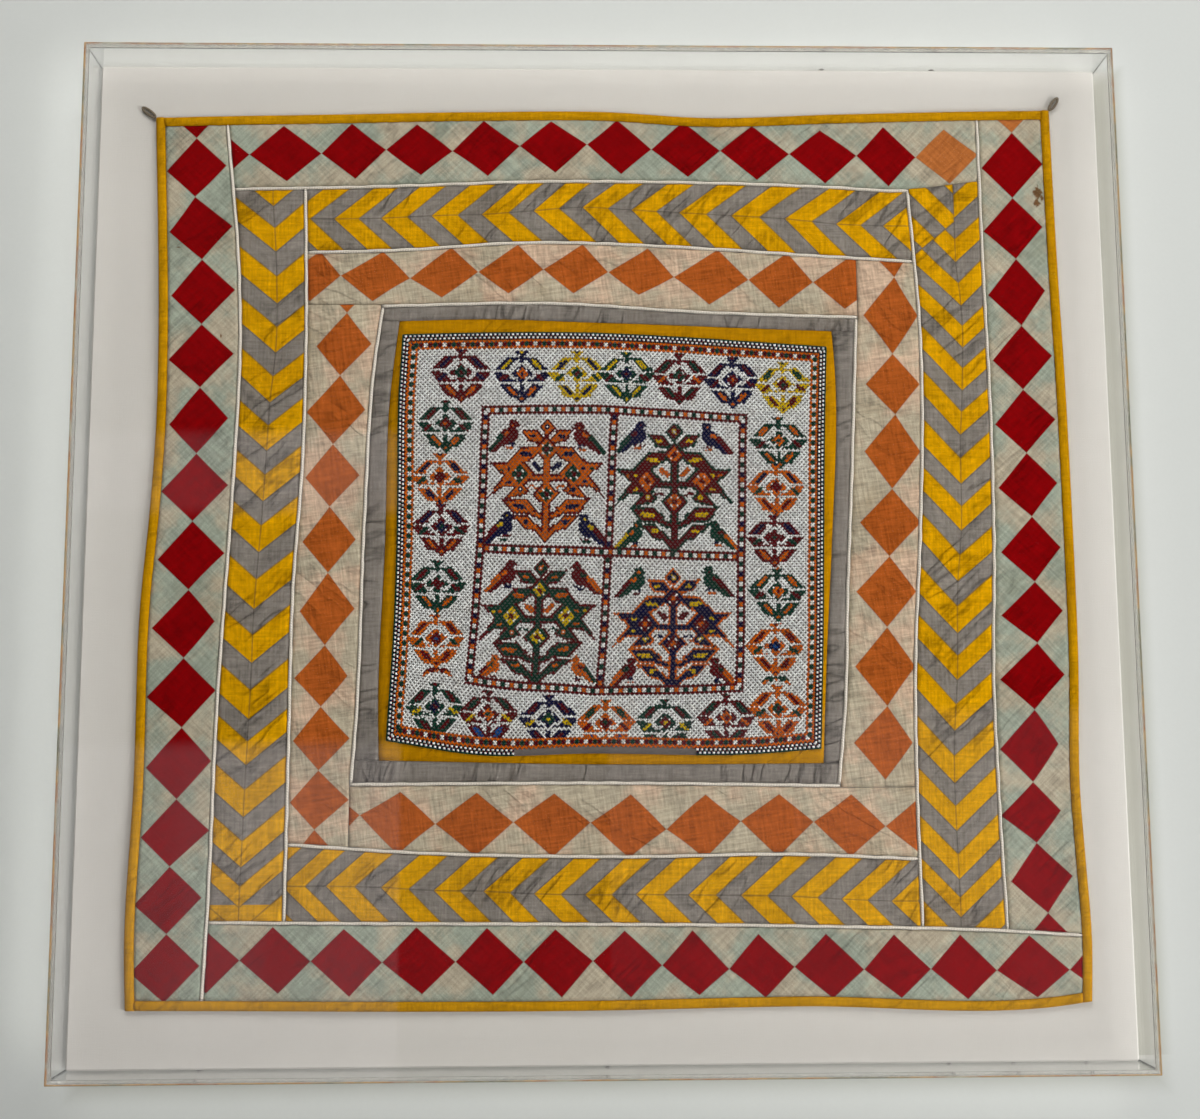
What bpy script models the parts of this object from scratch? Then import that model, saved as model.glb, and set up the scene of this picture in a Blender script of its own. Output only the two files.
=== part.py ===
"""A beaded and patchworked square cloth, mounted on a linen-covered board in a clear acrylic box.

The box hangs on a wall. Its back lies in the plane Y = 0 with the origin at the middle of that face,
the cloth faces -Y, and +Z is up. Sizes below are in millimetres and MM turns them into metres.
"""

import math
from dataclasses import dataclass

import bpy
import numpy as np

MM = 0.001
GAP = 0.3

# The acrylic box and its board
BOX_WIDTH = 866.0
BOX_HEIGHT = 844.0
BOX_DEPTH = 50.0
ACRYLIC = 4.0
POLISHED_EDGE = 0.4
BOARD_THICKNESS = 12.0
BOARD_CLEARANCE = 0.4
BOARD_EDGE_RADIUS = 1.5

# The cloth, its binding and its piping
CLOTH = 2.0
BEADWORK = 2.0
BINDING_WIDTH = 7.5
BINDING_THICKNESS = 3.0
BINDING_CROWN = 0.5
PIPING_RADIUS = 1.5
PIPING_STEP = 34.0
BEND_BESIDE_PIPING = PIPING_RADIUS + GAP
BUTT = GAP / 2

# The screws through the box's walls into the board's edge
SCREW_SHANK = 2.4
SCREW_HOLE = 3.0
SCREW_HEAD = 5.0
SCREW_HEAD_HEIGHT = 1.2
SCREW_LENGTH = 14.0
SCREW_SETBACK = 6.0
TOP_SCREWS = (192.0, 288.0)
BOTTOM_SCREWS = (-324.0, 1.0, 276.0, 328.0, 387.0)

# The stitched thread loops at the top corners: where each is rooted, its lean from +X and its length
LOOP_WIDTH = 5.6
LOOP_THREAD = 1.0
LOOP_RISE = 0.9
LOOP_STEPS = 24
LOOPS = {
    "corner_loop_left": {"root": (-380.4, 370.5), "lean": 142.6, "length": 15.0},
    "corner_loop_right": {"root": (387.3, 380.4), "lean": 54.7, "length": 14.5},
}

COLOURS = {
    "acrylic": ((0.86, 0.90, 0.89), 0.05),
    "linen": ((0.70, 0.66, 0.60), 0.90),
    "red": ((0.33, 0.008, 0.018), 0.85),
    "chevron": ((0.60, 0.38, 0.04), 0.85),
    "rust": ((0.47, 0.14, 0.045), 0.85),
    "grey": ((0.24, 0.22, 0.20), 0.85),
    "yellow": ((0.66, 0.38, 0.02), 0.85),
    "beads": ((0.58, 0.54, 0.50), 0.35),
    "piping": ((0.70, 0.67, 0.60), 0.85),
    "thread": ((0.13, 0.11, 0.09), 0.90),
    "steel": ((0.30, 0.29, 0.28), 0.35),
}


@dataclass(frozen=True)
class Seam:
    """A seam or edge of the cloth, read at a few places along it.

    rows holds (place, offset) pairs in rising order of place. A seam that runs down the cloth is read
    at heights z and gives x there; one that runs across is read at x and gives z.
    """

    rows: tuple

    def __call__(self, place):
        """The offset at each place, on a smooth curve through the readings."""
        at, offset = np.array(self.rows, float).T
        slope = np.gradient(offset, at)
        place = np.clip(place, at[0], at[-1])
        i = np.clip(np.searchsorted(at, place) - 1, 0, len(at) - 2)
        step = at[i + 1] - at[i]
        t = (place - at[i]) / step
        bend_in = slope[i] * step * t * (1 - t) ** 2
        bend_out = slope[i + 1] * step * t * t * (t - 1)
        ease = t * t * (3 - 2 * t)
        return offset[i] * (1 - ease) + offset[i + 1] * ease + bend_in + bend_out

    def moved(self, by):
        """The same seam, this far along the direction of its offset."""
        return Seam(tuple((at, offset + by) for at, offset in self.rows))


def level(offset):
    """A straight seam at one offset."""
    return Seam(((-400, offset), (400, offset)))


# Seams that run down the cloth: (height z, x)
EDGE_LEFT = Seam(
    ((-372, -382), (-330, -384), (-198, -381), (-46, -380), (27, -375), (101, -372), (172, -372), (370, -380))
)
BORDER_LEFT_SEAM = Seam(
    ((-365, -322), (-287, -319), (-142, -316), (14, -309), (88, -306), (168, -304), (228, -306), (362, -319))
)
CHEVRON_LEFT_SEAM = Seam(((-296, -258), (-143, -257), (-34, -256), (76, -250), (168, -249), (308, -252)))
RUST_LEFT_SEAM = Seam(((-191, -206), (-147, -203), (27, -198), (159, -191), (204, -185)))
RUST_RIGHT_SEAM = Seam(((-197, 191), (-130, 198), (-40, 202), (62, 208), (197, 215)))
CHEVRON_RIGHT_SEAM = Seam(
    ((-311, 256), (-201, 255), (-92, 257), (11, 264), (115, 269), (186, 269), (245, 266), (308, 262))
)
BORDER_RIGHT_SEAM = Seam(((-313, 325), (-201, 322), (-117, 321), (11, 326), (102, 327), (234, 325), (371, 324)))
EDGE_RIGHT = Seam(
    ((-370, 391), (-323, 393), (-258, 391), (-202, 389), (-93, 392), (129, 391), (234, 389), (380, 387))
)

# Seams that run across the cloth: (x, height z)
EDGE_BOTTOM = Seam(((-379, -371), (-284, -372), (-44, -374), (156, -372), (376, -372), (389, -370)))
BORDER_BOTTOM_SEAM = Seam(((-319, -303), (-149, -305), (157, -309), (325, -314), (387, -318)))
CHEVRON_BOTTOM_SEAM = Seam(((-255, -242), (-150, -249), (13, -253), (158, -252), (250, -256)))
RUST_BOTTOM_SEAM = Seam(((-206, -194), (13, -194), (191, -197)))
RUST_TOP_SEAM = Seam(((-185, 205), (-44, 208), (71, 201), (215, 196)))
CHEVRON_TOP_SEAM = Seam(((-247, 252), (-172, 254), (-61, 261), (83, 256), (165, 251), (264, 245)))
BORDER_TOP_SEAM = Seam(((-313, 307), (-159, 311), (-40, 315), (84, 314), (194, 311), (260, 308), (323, 315)))
EDGE_TOP = Seam(((-380, 370), (-258, 373), (-106, 376), (4, 377), (85, 372), (204, 376), (387, 380)))

# The yellow ground's edges, and the beadwork's, which is sewn on it a little askew
GROUND_LEFT = Seam(((-175, -184), (-128, -185), (1, -181), (129, -178), (192, -171)))
GROUND_RIGHT = Seam(((-179, 179), (-71, 185), (1, 190), (149, 196), (184, 194)))
GROUND_BOTTOM = Seam(((-184, -175), (0, -179), (179, -179)))
GROUND_TOP = Seam(((-171, 192), (-100, 194), (0, 191), (194, 184)))
BEADS_LEFT = Seam(((-160, -178), (-42, -172), (44, -171), (121, -171), (181, -168)))
BEADS_RIGHT = Seam(((-168, 177), (-71, 181), (1, 183), (101, 186), (171, 189)))
BEADS_BOTTOM = Seam(((-178, -159), (-100, -171), (-15, -170), (122, -171), (177, -167)))
BEADS_TOP = Seam(((-168, 180), (-100, 182), (-15, 182), (71, 178), (189, 170)))

DOWN_SEAMS = (
    BORDER_LEFT_SEAM,
    BORDER_RIGHT_SEAM,
    CHEVRON_LEFT_SEAM,
    CHEVRON_RIGHT_SEAM,
    RUST_LEFT_SEAM,
    RUST_RIGHT_SEAM,
)


def lift(x, z):
    """How far the cloth stands off the board: two crossing swells, never below the board."""
    upright = 1 + np.sin(x / 34 + 1.6 * np.sin(z / 70))
    crossing = 1 + np.sin(z / 41 + x / 95)
    return 0.45 * upright + 0.35 * crossing


def corner(down, across):
    """Where a seam down the cloth meets one across it: each is read at the other in turn."""
    x, z = 0.0, 0.0
    for _ in range(8):
        x = float(down(z))
        z = float(across(x))
    return x, z


def between(left, right, bottom, top, u, v):
    """The points at the share u from the left seam to the right one and v from the bottom to the top."""
    x, z = np.zeros_like(u), np.zeros_like(v)
    for _ in range(8):
        x = left(z) * (1 - u) + right(z) * u
        z = bottom(x) * (1 - v) + top(x) * v
    return x, z


def clear_scene():
    for obj in list(bpy.data.objects):
        bpy.data.objects.remove(obj, do_unlink=True)


def new_collection(name):
    made = bpy.data.collections.new(name)
    bpy.context.scene.collection.children.link(made)
    return made


def material(finish, node):
    """A Principled material for one sub-part, in the colour and roughness of its finish."""
    colour, roughness = COLOURS[finish]
    made = bpy.data.materials.new(f"{node}_{finish}")
    made.use_nodes = True
    shader = made.node_tree.nodes["Principled BSDF"]
    shader.inputs["Base Color"].default_value = (*colour, 1.0)
    shader.inputs["Roughness"].default_value = roughness
    shader.inputs["Metallic"].default_value = 1.0 if finish == "steel" else 0.0
    if finish == "acrylic":
        shader.inputs["Alpha"].default_value = 0.2
    return made


def finish_part(obj, name, finish, collection):
    """Names an object, gives it its material and puts it in the object's collection."""
    obj.name = name
    obj.data.name = name
    obj.data.materials.clear()
    obj.data.materials.append(material(finish, name))
    for holder in list(obj.users_collection):
        holder.objects.unlink(obj)
    collection.objects.link(obj)
    return obj


def box(name, finish, collection, low, high, edge):
    """A block between two corners, with its edges eased."""
    low, high = np.array(low, float), np.array(high, float)
    bpy.ops.mesh.primitive_cube_add(size=1.0)
    obj = finish_part(bpy.context.object, name, finish, collection)
    for vertex in obj.data.vertices:
        share = np.array(vertex.co) + 0.5
        vertex.co = (low + (high - low) * share) * MM
    bevel = obj.modifiers.new("eased edges", "BEVEL")
    bevel.width = edge * MM
    bevel.segments = 1
    return obj


def drill(obj, x, z_from, z_to, cutters):
    """A screw hole along Z through part of obj."""
    bpy.ops.mesh.primitive_cylinder_add(
        vertices=16,
        radius=SCREW_HOLE / 2 * MM,
        depth=abs(z_to - z_from) * MM,
        location=(x * MM, -SCREW_SETBACK * MM, (z_from + z_to) / 2 * MM),
    )
    cutter = bpy.context.object
    cutter.name = f"hole in {obj.name} at {x:.0f}"
    cutter.hide_render = True
    cutter.display_type = "WIRE"
    for holder in list(cutter.users_collection):
        holder.objects.unlink(cutter)
    cutters.objects.link(cutter)
    cut = obj.modifiers.new(cutter.name, "BOOLEAN")
    cut.operation = "DIFFERENCE"
    cut.object = cutter


def acrylic_box(collection):
    """The front sheet and the four walls behind it; the walls' back edges lie on the wall plane."""
    half_x, half_z = BOX_WIDTH / 2, BOX_HEIGHT / 2
    behind_front = -BOX_DEPTH + ACRYLIC + GAP
    inner_z = half_z - ACRYLIC
    sheets = {
        "front_panel": ((-half_x, -BOX_DEPTH, -half_z), (half_x, -BOX_DEPTH + ACRYLIC, half_z)),
        "top_wall": ((-half_x, behind_front, inner_z), (half_x, 0, half_z)),
        "bottom_wall": ((-half_x, behind_front, -half_z), (half_x, 0, -inner_z)),
        "left_wall": ((-half_x, behind_front, GAP - inner_z), (-half_x + ACRYLIC, 0, inner_z - GAP)),
        "right_wall": ((half_x - ACRYLIC, behind_front, GAP - inner_z), (half_x, 0, inner_z - GAP)),
    }
    return {
        name: box(name, "acrylic", collection, low, high, POLISHED_EDGE)
        for name, (low, high) in sheets.items()
    }


def mount_board(collection):
    """The linen-covered board that fills the back of the box."""
    half_x = BOX_WIDTH / 2 - ACRYLIC - BOARD_CLEARANCE
    half_z = BOX_HEIGHT / 2 - ACRYLIC - BOARD_CLEARANCE
    low, high = (-half_x, -BOARD_THICKNESS, -half_z), (half_x, 0, half_z)
    return box("mount_board", "linen", collection, low, high, BOARD_EDGE_RADIUS)


def screw_profile(side):
    """Half of a screw's section as (radius, z) from its head's top down to its tip."""
    seat = side * (BOX_HEIGHT / 2 + GAP)
    head, shank = SCREW_HEAD / 2, SCREW_SHANK / 2
    steps = (
        (0.0, SCREW_HEAD_HEIGHT),
        (0.6 * head, SCREW_HEAD_HEIGHT),
        (head, 0.4 * SCREW_HEAD_HEIGHT),
        (head, 0.0),
        (shank, 0.0),
        (shank, -SCREW_LENGTH + shank),
        (0.0, -SCREW_LENGTH),
    )
    return [(radius, seat + side * up) for radius, up in steps]


def screw(name, x, side, collection):
    """A screw through the top wall (side 1) or the bottom wall (side -1): a profile turned about its axis."""
    rows = screw_profile(side)
    if side < 0:
        rows = rows[::-1]
    mesh = bpy.data.meshes.new(name)
    points = [(radius * MM, 0.0, z * MM) for radius, z in rows]
    mesh.from_pydata(points, [(i, i + 1) for i in range(len(points) - 1)], [])
    obj = bpy.data.objects.new(name, mesh)
    bpy.context.scene.collection.objects.link(obj)
    finish_part(obj, name, "steel", collection)
    obj.location = (x * MM, -SCREW_SETBACK * MM, 0.0)
    turn = obj.modifiers.new("turned", "SCREW")
    turn.axis = "Z"
    turn.steps = 16
    turn.render_steps = 16
    turn.use_merge_vertices = True
    turn.merge_threshold = 0.00001
    return obj


def fasten(walls, board, collection, cutters):
    """Screws along the top and the bottom, each in a hole through its wall and into the board's edge."""
    rows = [("top", 1, x) for x in TOP_SCREWS] + [("bottom", -1, x) for x in BOTTOM_SCREWS]
    half_z = BOX_HEIGHT / 2
    for count, (place, side, x) in enumerate(rows, start=1):
        screw(f"wall_screw_{count}", x, side, collection)
        reach = half_z - SCREW_LENGTH - 1.0
        drill(walls[f"{place}_wall"], x, side * reach, side * (half_z + 2.0), cutters)
        drill(board, x, side * reach, side * (half_z + 2.0), cutters)


def sheet(name, finish, collection, seams, cells, thickness=CLOTH, stand=0.0, crown=0.0):
    """A piece of cloth between four seams, following the board with the cloth's swells.

    seams are its left, right, bottom and top edges, stand is how far it lies above the board's
    clearance, and crown raises its middle line, as a folded binding is raised.
    """
    across, along = cells
    bpy.ops.mesh.primitive_grid_add(x_subdivisions=across, y_subdivisions=along, size=1.0)
    obj = finish_part(bpy.context.object, name, finish, collection)
    flat = np.empty(len(obj.data.vertices) * 3, np.float32)
    obj.data.vertices.foreach_get("co", flat)
    u, v = (flat.reshape(-1, 3)[:, :2].astype(float) + 0.5).T
    x, z = between(*seams, u, v)
    short_way = u if across < along else v
    raised = crown * np.sin(math.pi * short_way)
    front = BOARD_THICKNESS + GAP + stand + thickness + lift(x, z) + raised
    obj.data.vertices.foreach_set("co", (np.stack([x, -front, z], axis=1) * MM).ravel())
    obj.data.update()
    wall = obj.modifiers.new("thickness", "SOLIDIFY")
    wall.thickness = thickness * MM
    wall.offset = -1.0
    return obj


def border_strips():
    """Each strip of the three pieced borders and the grey frame: its name, finish, seams and grid cells.

    A strip's seams are its left, right, bottom and top edges. It stops short of the piping that lies in
    a seam and of the folded binding, and where two strips meet with no piping they are a gap apart.
    """
    bind, pipe = BINDING_WIDTH + GAP, BEND_BESIDE_PIPING
    edge_left, edge_right = EDGE_LEFT.moved(bind), EDGE_RIGHT.moved(-bind)
    edge_bottom, edge_top = EDGE_BOTTOM.moved(bind), EDGE_TOP.moved(-bind)
    red_left, red_right = BORDER_LEFT_SEAM.moved(pipe), BORDER_RIGHT_SEAM.moved(-pipe)
    red_bottom, red_top = BORDER_BOTTOM_SEAM.moved(pipe), BORDER_TOP_SEAM.moved(-pipe)
    unpiped_top = BORDER_TOP_SEAM.moved(pipe - GAP)
    outer_left, outer_right = CHEVRON_LEFT_SEAM.moved(pipe), CHEVRON_RIGHT_SEAM.moved(-pipe)
    outer_bottom, outer_top = CHEVRON_BOTTOM_SEAM.moved(pipe), CHEVRON_TOP_SEAM.moved(-pipe)
    inner_left, inner_right = RUST_LEFT_SEAM.moved(pipe), RUST_RIGHT_SEAM.moved(-pipe)
    inner_bottom, inner_top = RUST_BOTTOM_SEAM.moved(pipe), RUST_TOP_SEAM.moved(-pipe)
    ground_left, ground_right = GROUND_LEFT.moved(-BUTT), GROUND_RIGHT.moved(BUTT)
    ground_bottom, ground_top = GROUND_BOTTOM.moved(-BUTT), GROUND_TOP.moved(BUTT)
    band_bottom, band_top = GROUND_BOTTOM.moved(BUTT), GROUND_TOP.moved(-BUTT)
    past = PIPING_RADIUS - BUTT
    rust_ends = {
        "left": level(corner(RUST_LEFT_SEAM, RUST_BOTTOM_SEAM)[0] - past),
        "right": level(corner(RUST_RIGHT_SEAM, RUST_TOP_SEAM)[0] + past),
        "bottom": level(corner(RUST_RIGHT_SEAM, RUST_BOTTOM_SEAM)[1] - past),
        "top": level(corner(RUST_LEFT_SEAM, RUST_TOP_SEAM)[1] + past),
    }
    down, across = (2, 20), (20, 2)
    short_down, short_across = (2, 18), (18, 2)
    return (
        ("red_border_left", "red", (edge_left, BORDER_LEFT_SEAM.moved(-pipe), edge_bottom, edge_top), down),
        ("red_border_top", "red", (red_left, red_right, BORDER_TOP_SEAM.moved(pipe), edge_top), across),
        (
            "red_border_right",
            "red",
            (BORDER_RIGHT_SEAM.moved(pipe), edge_right, red_bottom, edge_top),
            down,
        ),
        (
            "red_border_bottom",
            "red",
            (red_left, edge_right, edge_bottom, BORDER_BOTTOM_SEAM.moved(-pipe)),
            across,
        ),
        (
            "chevron_border_left",
            "chevron",
            (red_left, CHEVRON_LEFT_SEAM.moved(-pipe), red_bottom, red_top),
            down,
        ),
        (
            "chevron_border_top",
            "chevron",
            (outer_left, outer_right, CHEVRON_TOP_SEAM.moved(pipe), red_top),
            across,
        ),
        (
            "chevron_border_right",
            "chevron",
            (CHEVRON_RIGHT_SEAM.moved(pipe), red_right, red_bottom, unpiped_top),
            down,
        ),
        (
            "chevron_border_bottom",
            "chevron",
            (outer_left, outer_right, red_bottom, CHEVRON_BOTTOM_SEAM.moved(-pipe)),
            across,
        ),
        (
            "rust_border_left",
            "rust",
            (outer_left, RUST_LEFT_SEAM.moved(-pipe), outer_bottom, rust_ends["top"]),
            short_down,
        ),
        (
            "rust_border_top",
            "rust",
            (outer_left, rust_ends["right"], RUST_TOP_SEAM.moved(pipe), outer_top),
            short_across,
        ),
        (
            "rust_border_right",
            "rust",
            (RUST_RIGHT_SEAM.moved(pipe), outer_right, rust_ends["bottom"], outer_top),
            short_down,
        ),
        (
            "rust_border_bottom",
            "rust",
            (rust_ends["left"], outer_right, outer_bottom, RUST_BOTTOM_SEAM.moved(-pipe)),
            short_across,
        ),
        ("grey_band_left", "grey", (inner_left, ground_left, band_bottom, band_top), short_down),
        ("grey_band_top", "grey", (inner_left, inner_right, ground_top, inner_top), short_across),
        ("grey_band_right", "grey", (ground_right, inner_right, band_bottom, band_top), short_down),
        ("grey_band_bottom", "grey", (inner_left, inner_right, inner_bottom, ground_bottom), short_across),
    )


def patchwork(collection):
    """The sixteen strips, the yellow ground inside them and the beadwork sewn on the ground."""
    for name, finish, seams, cells in border_strips():
        sheet(name, finish, collection, seams, cells)
    ground = (
        GROUND_LEFT.moved(BUTT),
        GROUND_RIGHT.moved(-BUTT),
        GROUND_BOTTOM.moved(BUTT),
        GROUND_TOP.moved(-BUTT),
    )
    sheet("yellow_ground", "yellow", collection, ground, (12, 12))
    beads = (BEADS_LEFT, BEADS_RIGHT, BEADS_BOTTOM, BEADS_TOP)
    sheet("bead_panel", "beads", collection, beads, (12, 12), thickness=BEADWORK, stand=CLOTH + GAP)


def binding(collection):
    """The folded yellow edge all round: the sides run the full height and the ends fit between them."""
    wide, clear = BINDING_WIDTH, BINDING_WIDTH + GAP
    inside_left, inside_right = EDGE_LEFT.moved(clear), EDGE_RIGHT.moved(-clear)
    sides = (
        ("binding_left", (EDGE_LEFT, EDGE_LEFT.moved(wide), EDGE_BOTTOM, EDGE_TOP), (2, 20)),
        ("binding_right", (EDGE_RIGHT.moved(-wide), EDGE_RIGHT, EDGE_BOTTOM, EDGE_TOP), (2, 20)),
        ("binding_bottom", (inside_left, inside_right, EDGE_BOTTOM, EDGE_BOTTOM.moved(wide)), (20, 2)),
        ("binding_top", (inside_left, inside_right, EDGE_TOP.moved(-wide), EDGE_TOP), (20, 2)),
    )
    for name, seams, cells in sides:
        sheet(name, "yellow", collection, seams, cells, thickness=BINDING_THICKNESS, crown=BINDING_CROWN)


def cord(name, finish, collection, points, radius, closed=False):
    """A round cord along points given in millimetres, its ends capped, or joined if it is closed."""
    curve = bpy.data.curves.new(name, "CURVE")
    curve.dimensions = "3D"
    curve.bevel_depth = radius * MM
    curve.bevel_resolution = 2
    curve.use_fill_caps = not closed
    line = curve.splines.new("POLY")
    line.points.add(len(points) - 1)
    rows = [(x * MM, y * MM, z * MM, 1.0) for x, y, z in points]
    for point, row in zip(line.points, rows):
        point.co = row
    line.use_cyclic_u = closed
    obj = bpy.data.objects.new(name, curve)
    bpy.context.scene.collection.objects.link(obj)
    return finish_part(obj, name, finish, collection)


def piping_lines():
    """Each length of piping: its name, its seam, whether it runs down the cloth, and its two ends."""
    bind, pipe, past = BINDING_WIDTH + GAP, BEND_BESIDE_PIPING, PIPING_RADIUS - 2 * GAP
    low_left, low_right = corner(RUST_LEFT_SEAM, RUST_BOTTOM_SEAM), corner(RUST_RIGHT_SEAM, RUST_BOTTOM_SEAM)
    top_left, top_right = corner(RUST_LEFT_SEAM, RUST_TOP_SEAM), corner(RUST_RIGHT_SEAM, RUST_TOP_SEAM)

    def ends(seam, before, after, short_before=pipe, short_after=pipe):
        start = corner(seam, before) if seam in DOWN_SEAMS else corner(before, seam)
        stop = corner(seam, after) if seam in DOWN_SEAMS else corner(after, seam)
        place = 1 if seam in DOWN_SEAMS else 0
        return start[place] + short_before, stop[place] - short_after

    return (
        ("piping_border_left", BORDER_LEFT_SEAM, ends(BORDER_LEFT_SEAM, EDGE_BOTTOM, EDGE_TOP, bind, bind)),
        ("piping_border_right", BORDER_RIGHT_SEAM, ends(BORDER_RIGHT_SEAM, BORDER_BOTTOM_SEAM, EDGE_TOP, pipe, bind)),
        ("piping_border_bottom", BORDER_BOTTOM_SEAM, ends(BORDER_BOTTOM_SEAM, BORDER_LEFT_SEAM, EDGE_RIGHT, pipe, bind)),
        (
            "piping_border_top",
            BORDER_TOP_SEAM,
            ends(BORDER_TOP_SEAM, BORDER_LEFT_SEAM, CHEVRON_RIGHT_SEAM, pipe, -past),
        ),
        ("piping_chevron_left", CHEVRON_LEFT_SEAM, ends(CHEVRON_LEFT_SEAM, BORDER_BOTTOM_SEAM, BORDER_TOP_SEAM)),
        ("piping_chevron_right", CHEVRON_RIGHT_SEAM, ends(CHEVRON_RIGHT_SEAM, BORDER_BOTTOM_SEAM, BORDER_TOP_SEAM)),
        ("piping_chevron_bottom", CHEVRON_BOTTOM_SEAM, ends(CHEVRON_BOTTOM_SEAM, CHEVRON_LEFT_SEAM, CHEVRON_RIGHT_SEAM)),
        ("piping_chevron_top", CHEVRON_TOP_SEAM, ends(CHEVRON_TOP_SEAM, CHEVRON_LEFT_SEAM, CHEVRON_RIGHT_SEAM)),
        ("piping_rust_left", RUST_LEFT_SEAM, (low_left[1] + pipe, top_left[1] - pipe)),
        ("piping_rust_right", RUST_RIGHT_SEAM, (low_right[1] + pipe, top_right[1] - pipe)),
        ("piping_rust_bottom", RUST_BOTTOM_SEAM, (low_left[0] - past, low_right[0] + past)),
        ("piping_rust_top", RUST_TOP_SEAM, (top_left[0] - past, top_right[0] + past)),
    )


def piping(collection):
    """The white cords in the seams, each standing a little proud of the cloth beside it."""
    for name, seam, (start, stop) in piping_lines():
        place = np.linspace(start, stop, max(8, round((stop - start) / PIPING_STEP)) + 1)
        x, z = (seam(place), place) if seam in DOWN_SEAMS else (place, seam(place))
        y = -(BOARD_THICKNESS + GAP + PIPING_RADIUS + lift(x, z))
        cord(name, "piping", collection, np.stack([x, y, z], axis=1).tolist(), PIPING_RADIUS)


def corner_loops(collection):
    """A flattened ring of thread at each top corner, leaning outwards from it."""
    for name, loop in LOOPS.items():
        lean = math.radians(loop["lean"])
        reach = loop["length"] / 2
        long_half, short_half = reach - LOOP_THREAD, LOOP_WIDTH / 2 - LOOP_THREAD
        points = []
        for step in range(LOOP_STEPS):
            turn = 2 * math.pi * step / LOOP_STEPS
            out, side = reach + long_half * math.cos(turn), short_half * math.sin(turn)
            x = loop["root"][0] + out * math.cos(lean) - side * math.sin(lean)
            z = loop["root"][1] + out * math.sin(lean) + side * math.cos(lean)
            points.append((x, -(BOARD_THICKNESS + GAP + LOOP_THREAD + LOOP_RISE), z))
        cord(name, "thread", collection, points, LOOP_THREAD, closed=True)


def main():
    clear_scene()
    textile = new_collection("framed_beaded_textile")
    cutters = new_collection("cutters")
    cutters.hide_render = True
    sheets = acrylic_box(textile)
    board = mount_board(textile)
    fasten(sheets, board, textile, cutters)
    patchwork(textile)
    binding(textile)
    piping(textile)
    corner_loops(textile)


if __name__ == "__main__":
    main()
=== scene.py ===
"""Looks of a beaded and patchworked square cloth in a shallow clear acrylic box.

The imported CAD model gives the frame. Its back lies in the plane Y = 0, the cloth faces -Y and +Z is up.
Sizes below are in millimetres, as in the part's source, and MM turns them into metres.
"""

import logging
import math
from dataclasses import dataclass, replace
from enum import IntEnum
from typing import TypeAlias

import bpy
import numpy as np
from mathutils import Matrix


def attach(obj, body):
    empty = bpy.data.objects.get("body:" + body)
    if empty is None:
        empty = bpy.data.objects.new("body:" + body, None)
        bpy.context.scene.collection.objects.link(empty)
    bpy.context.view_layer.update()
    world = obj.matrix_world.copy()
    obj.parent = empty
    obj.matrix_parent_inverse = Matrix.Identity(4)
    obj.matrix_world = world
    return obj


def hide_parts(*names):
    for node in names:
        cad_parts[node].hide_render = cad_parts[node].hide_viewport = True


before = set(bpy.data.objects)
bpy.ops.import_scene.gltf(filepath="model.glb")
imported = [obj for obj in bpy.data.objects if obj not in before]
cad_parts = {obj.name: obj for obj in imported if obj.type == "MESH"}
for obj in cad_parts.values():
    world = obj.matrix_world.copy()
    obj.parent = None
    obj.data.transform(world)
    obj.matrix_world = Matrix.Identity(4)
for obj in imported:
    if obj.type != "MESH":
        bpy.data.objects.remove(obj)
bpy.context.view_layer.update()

MM = 0.001
LOG = logging.getLogger("framed_textile")

Colour = tuple[float, float, float]
Array = np.ndarray
Number: TypeAlias = "Value | float"


def srgb(red: float, green: float, blue: float) -> Colour:
    """A colour given as a screen shows it, from 0 to 255, turned into linear light."""
    shares = (red / 255, green / 255, blue / 255)
    return tuple(c / 12.92 if c < 0.04045 else ((c + 0.055) / 1.055) ** 2.4 for c in shares)


# ---------------------------------------------------------------- shader maths


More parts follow.
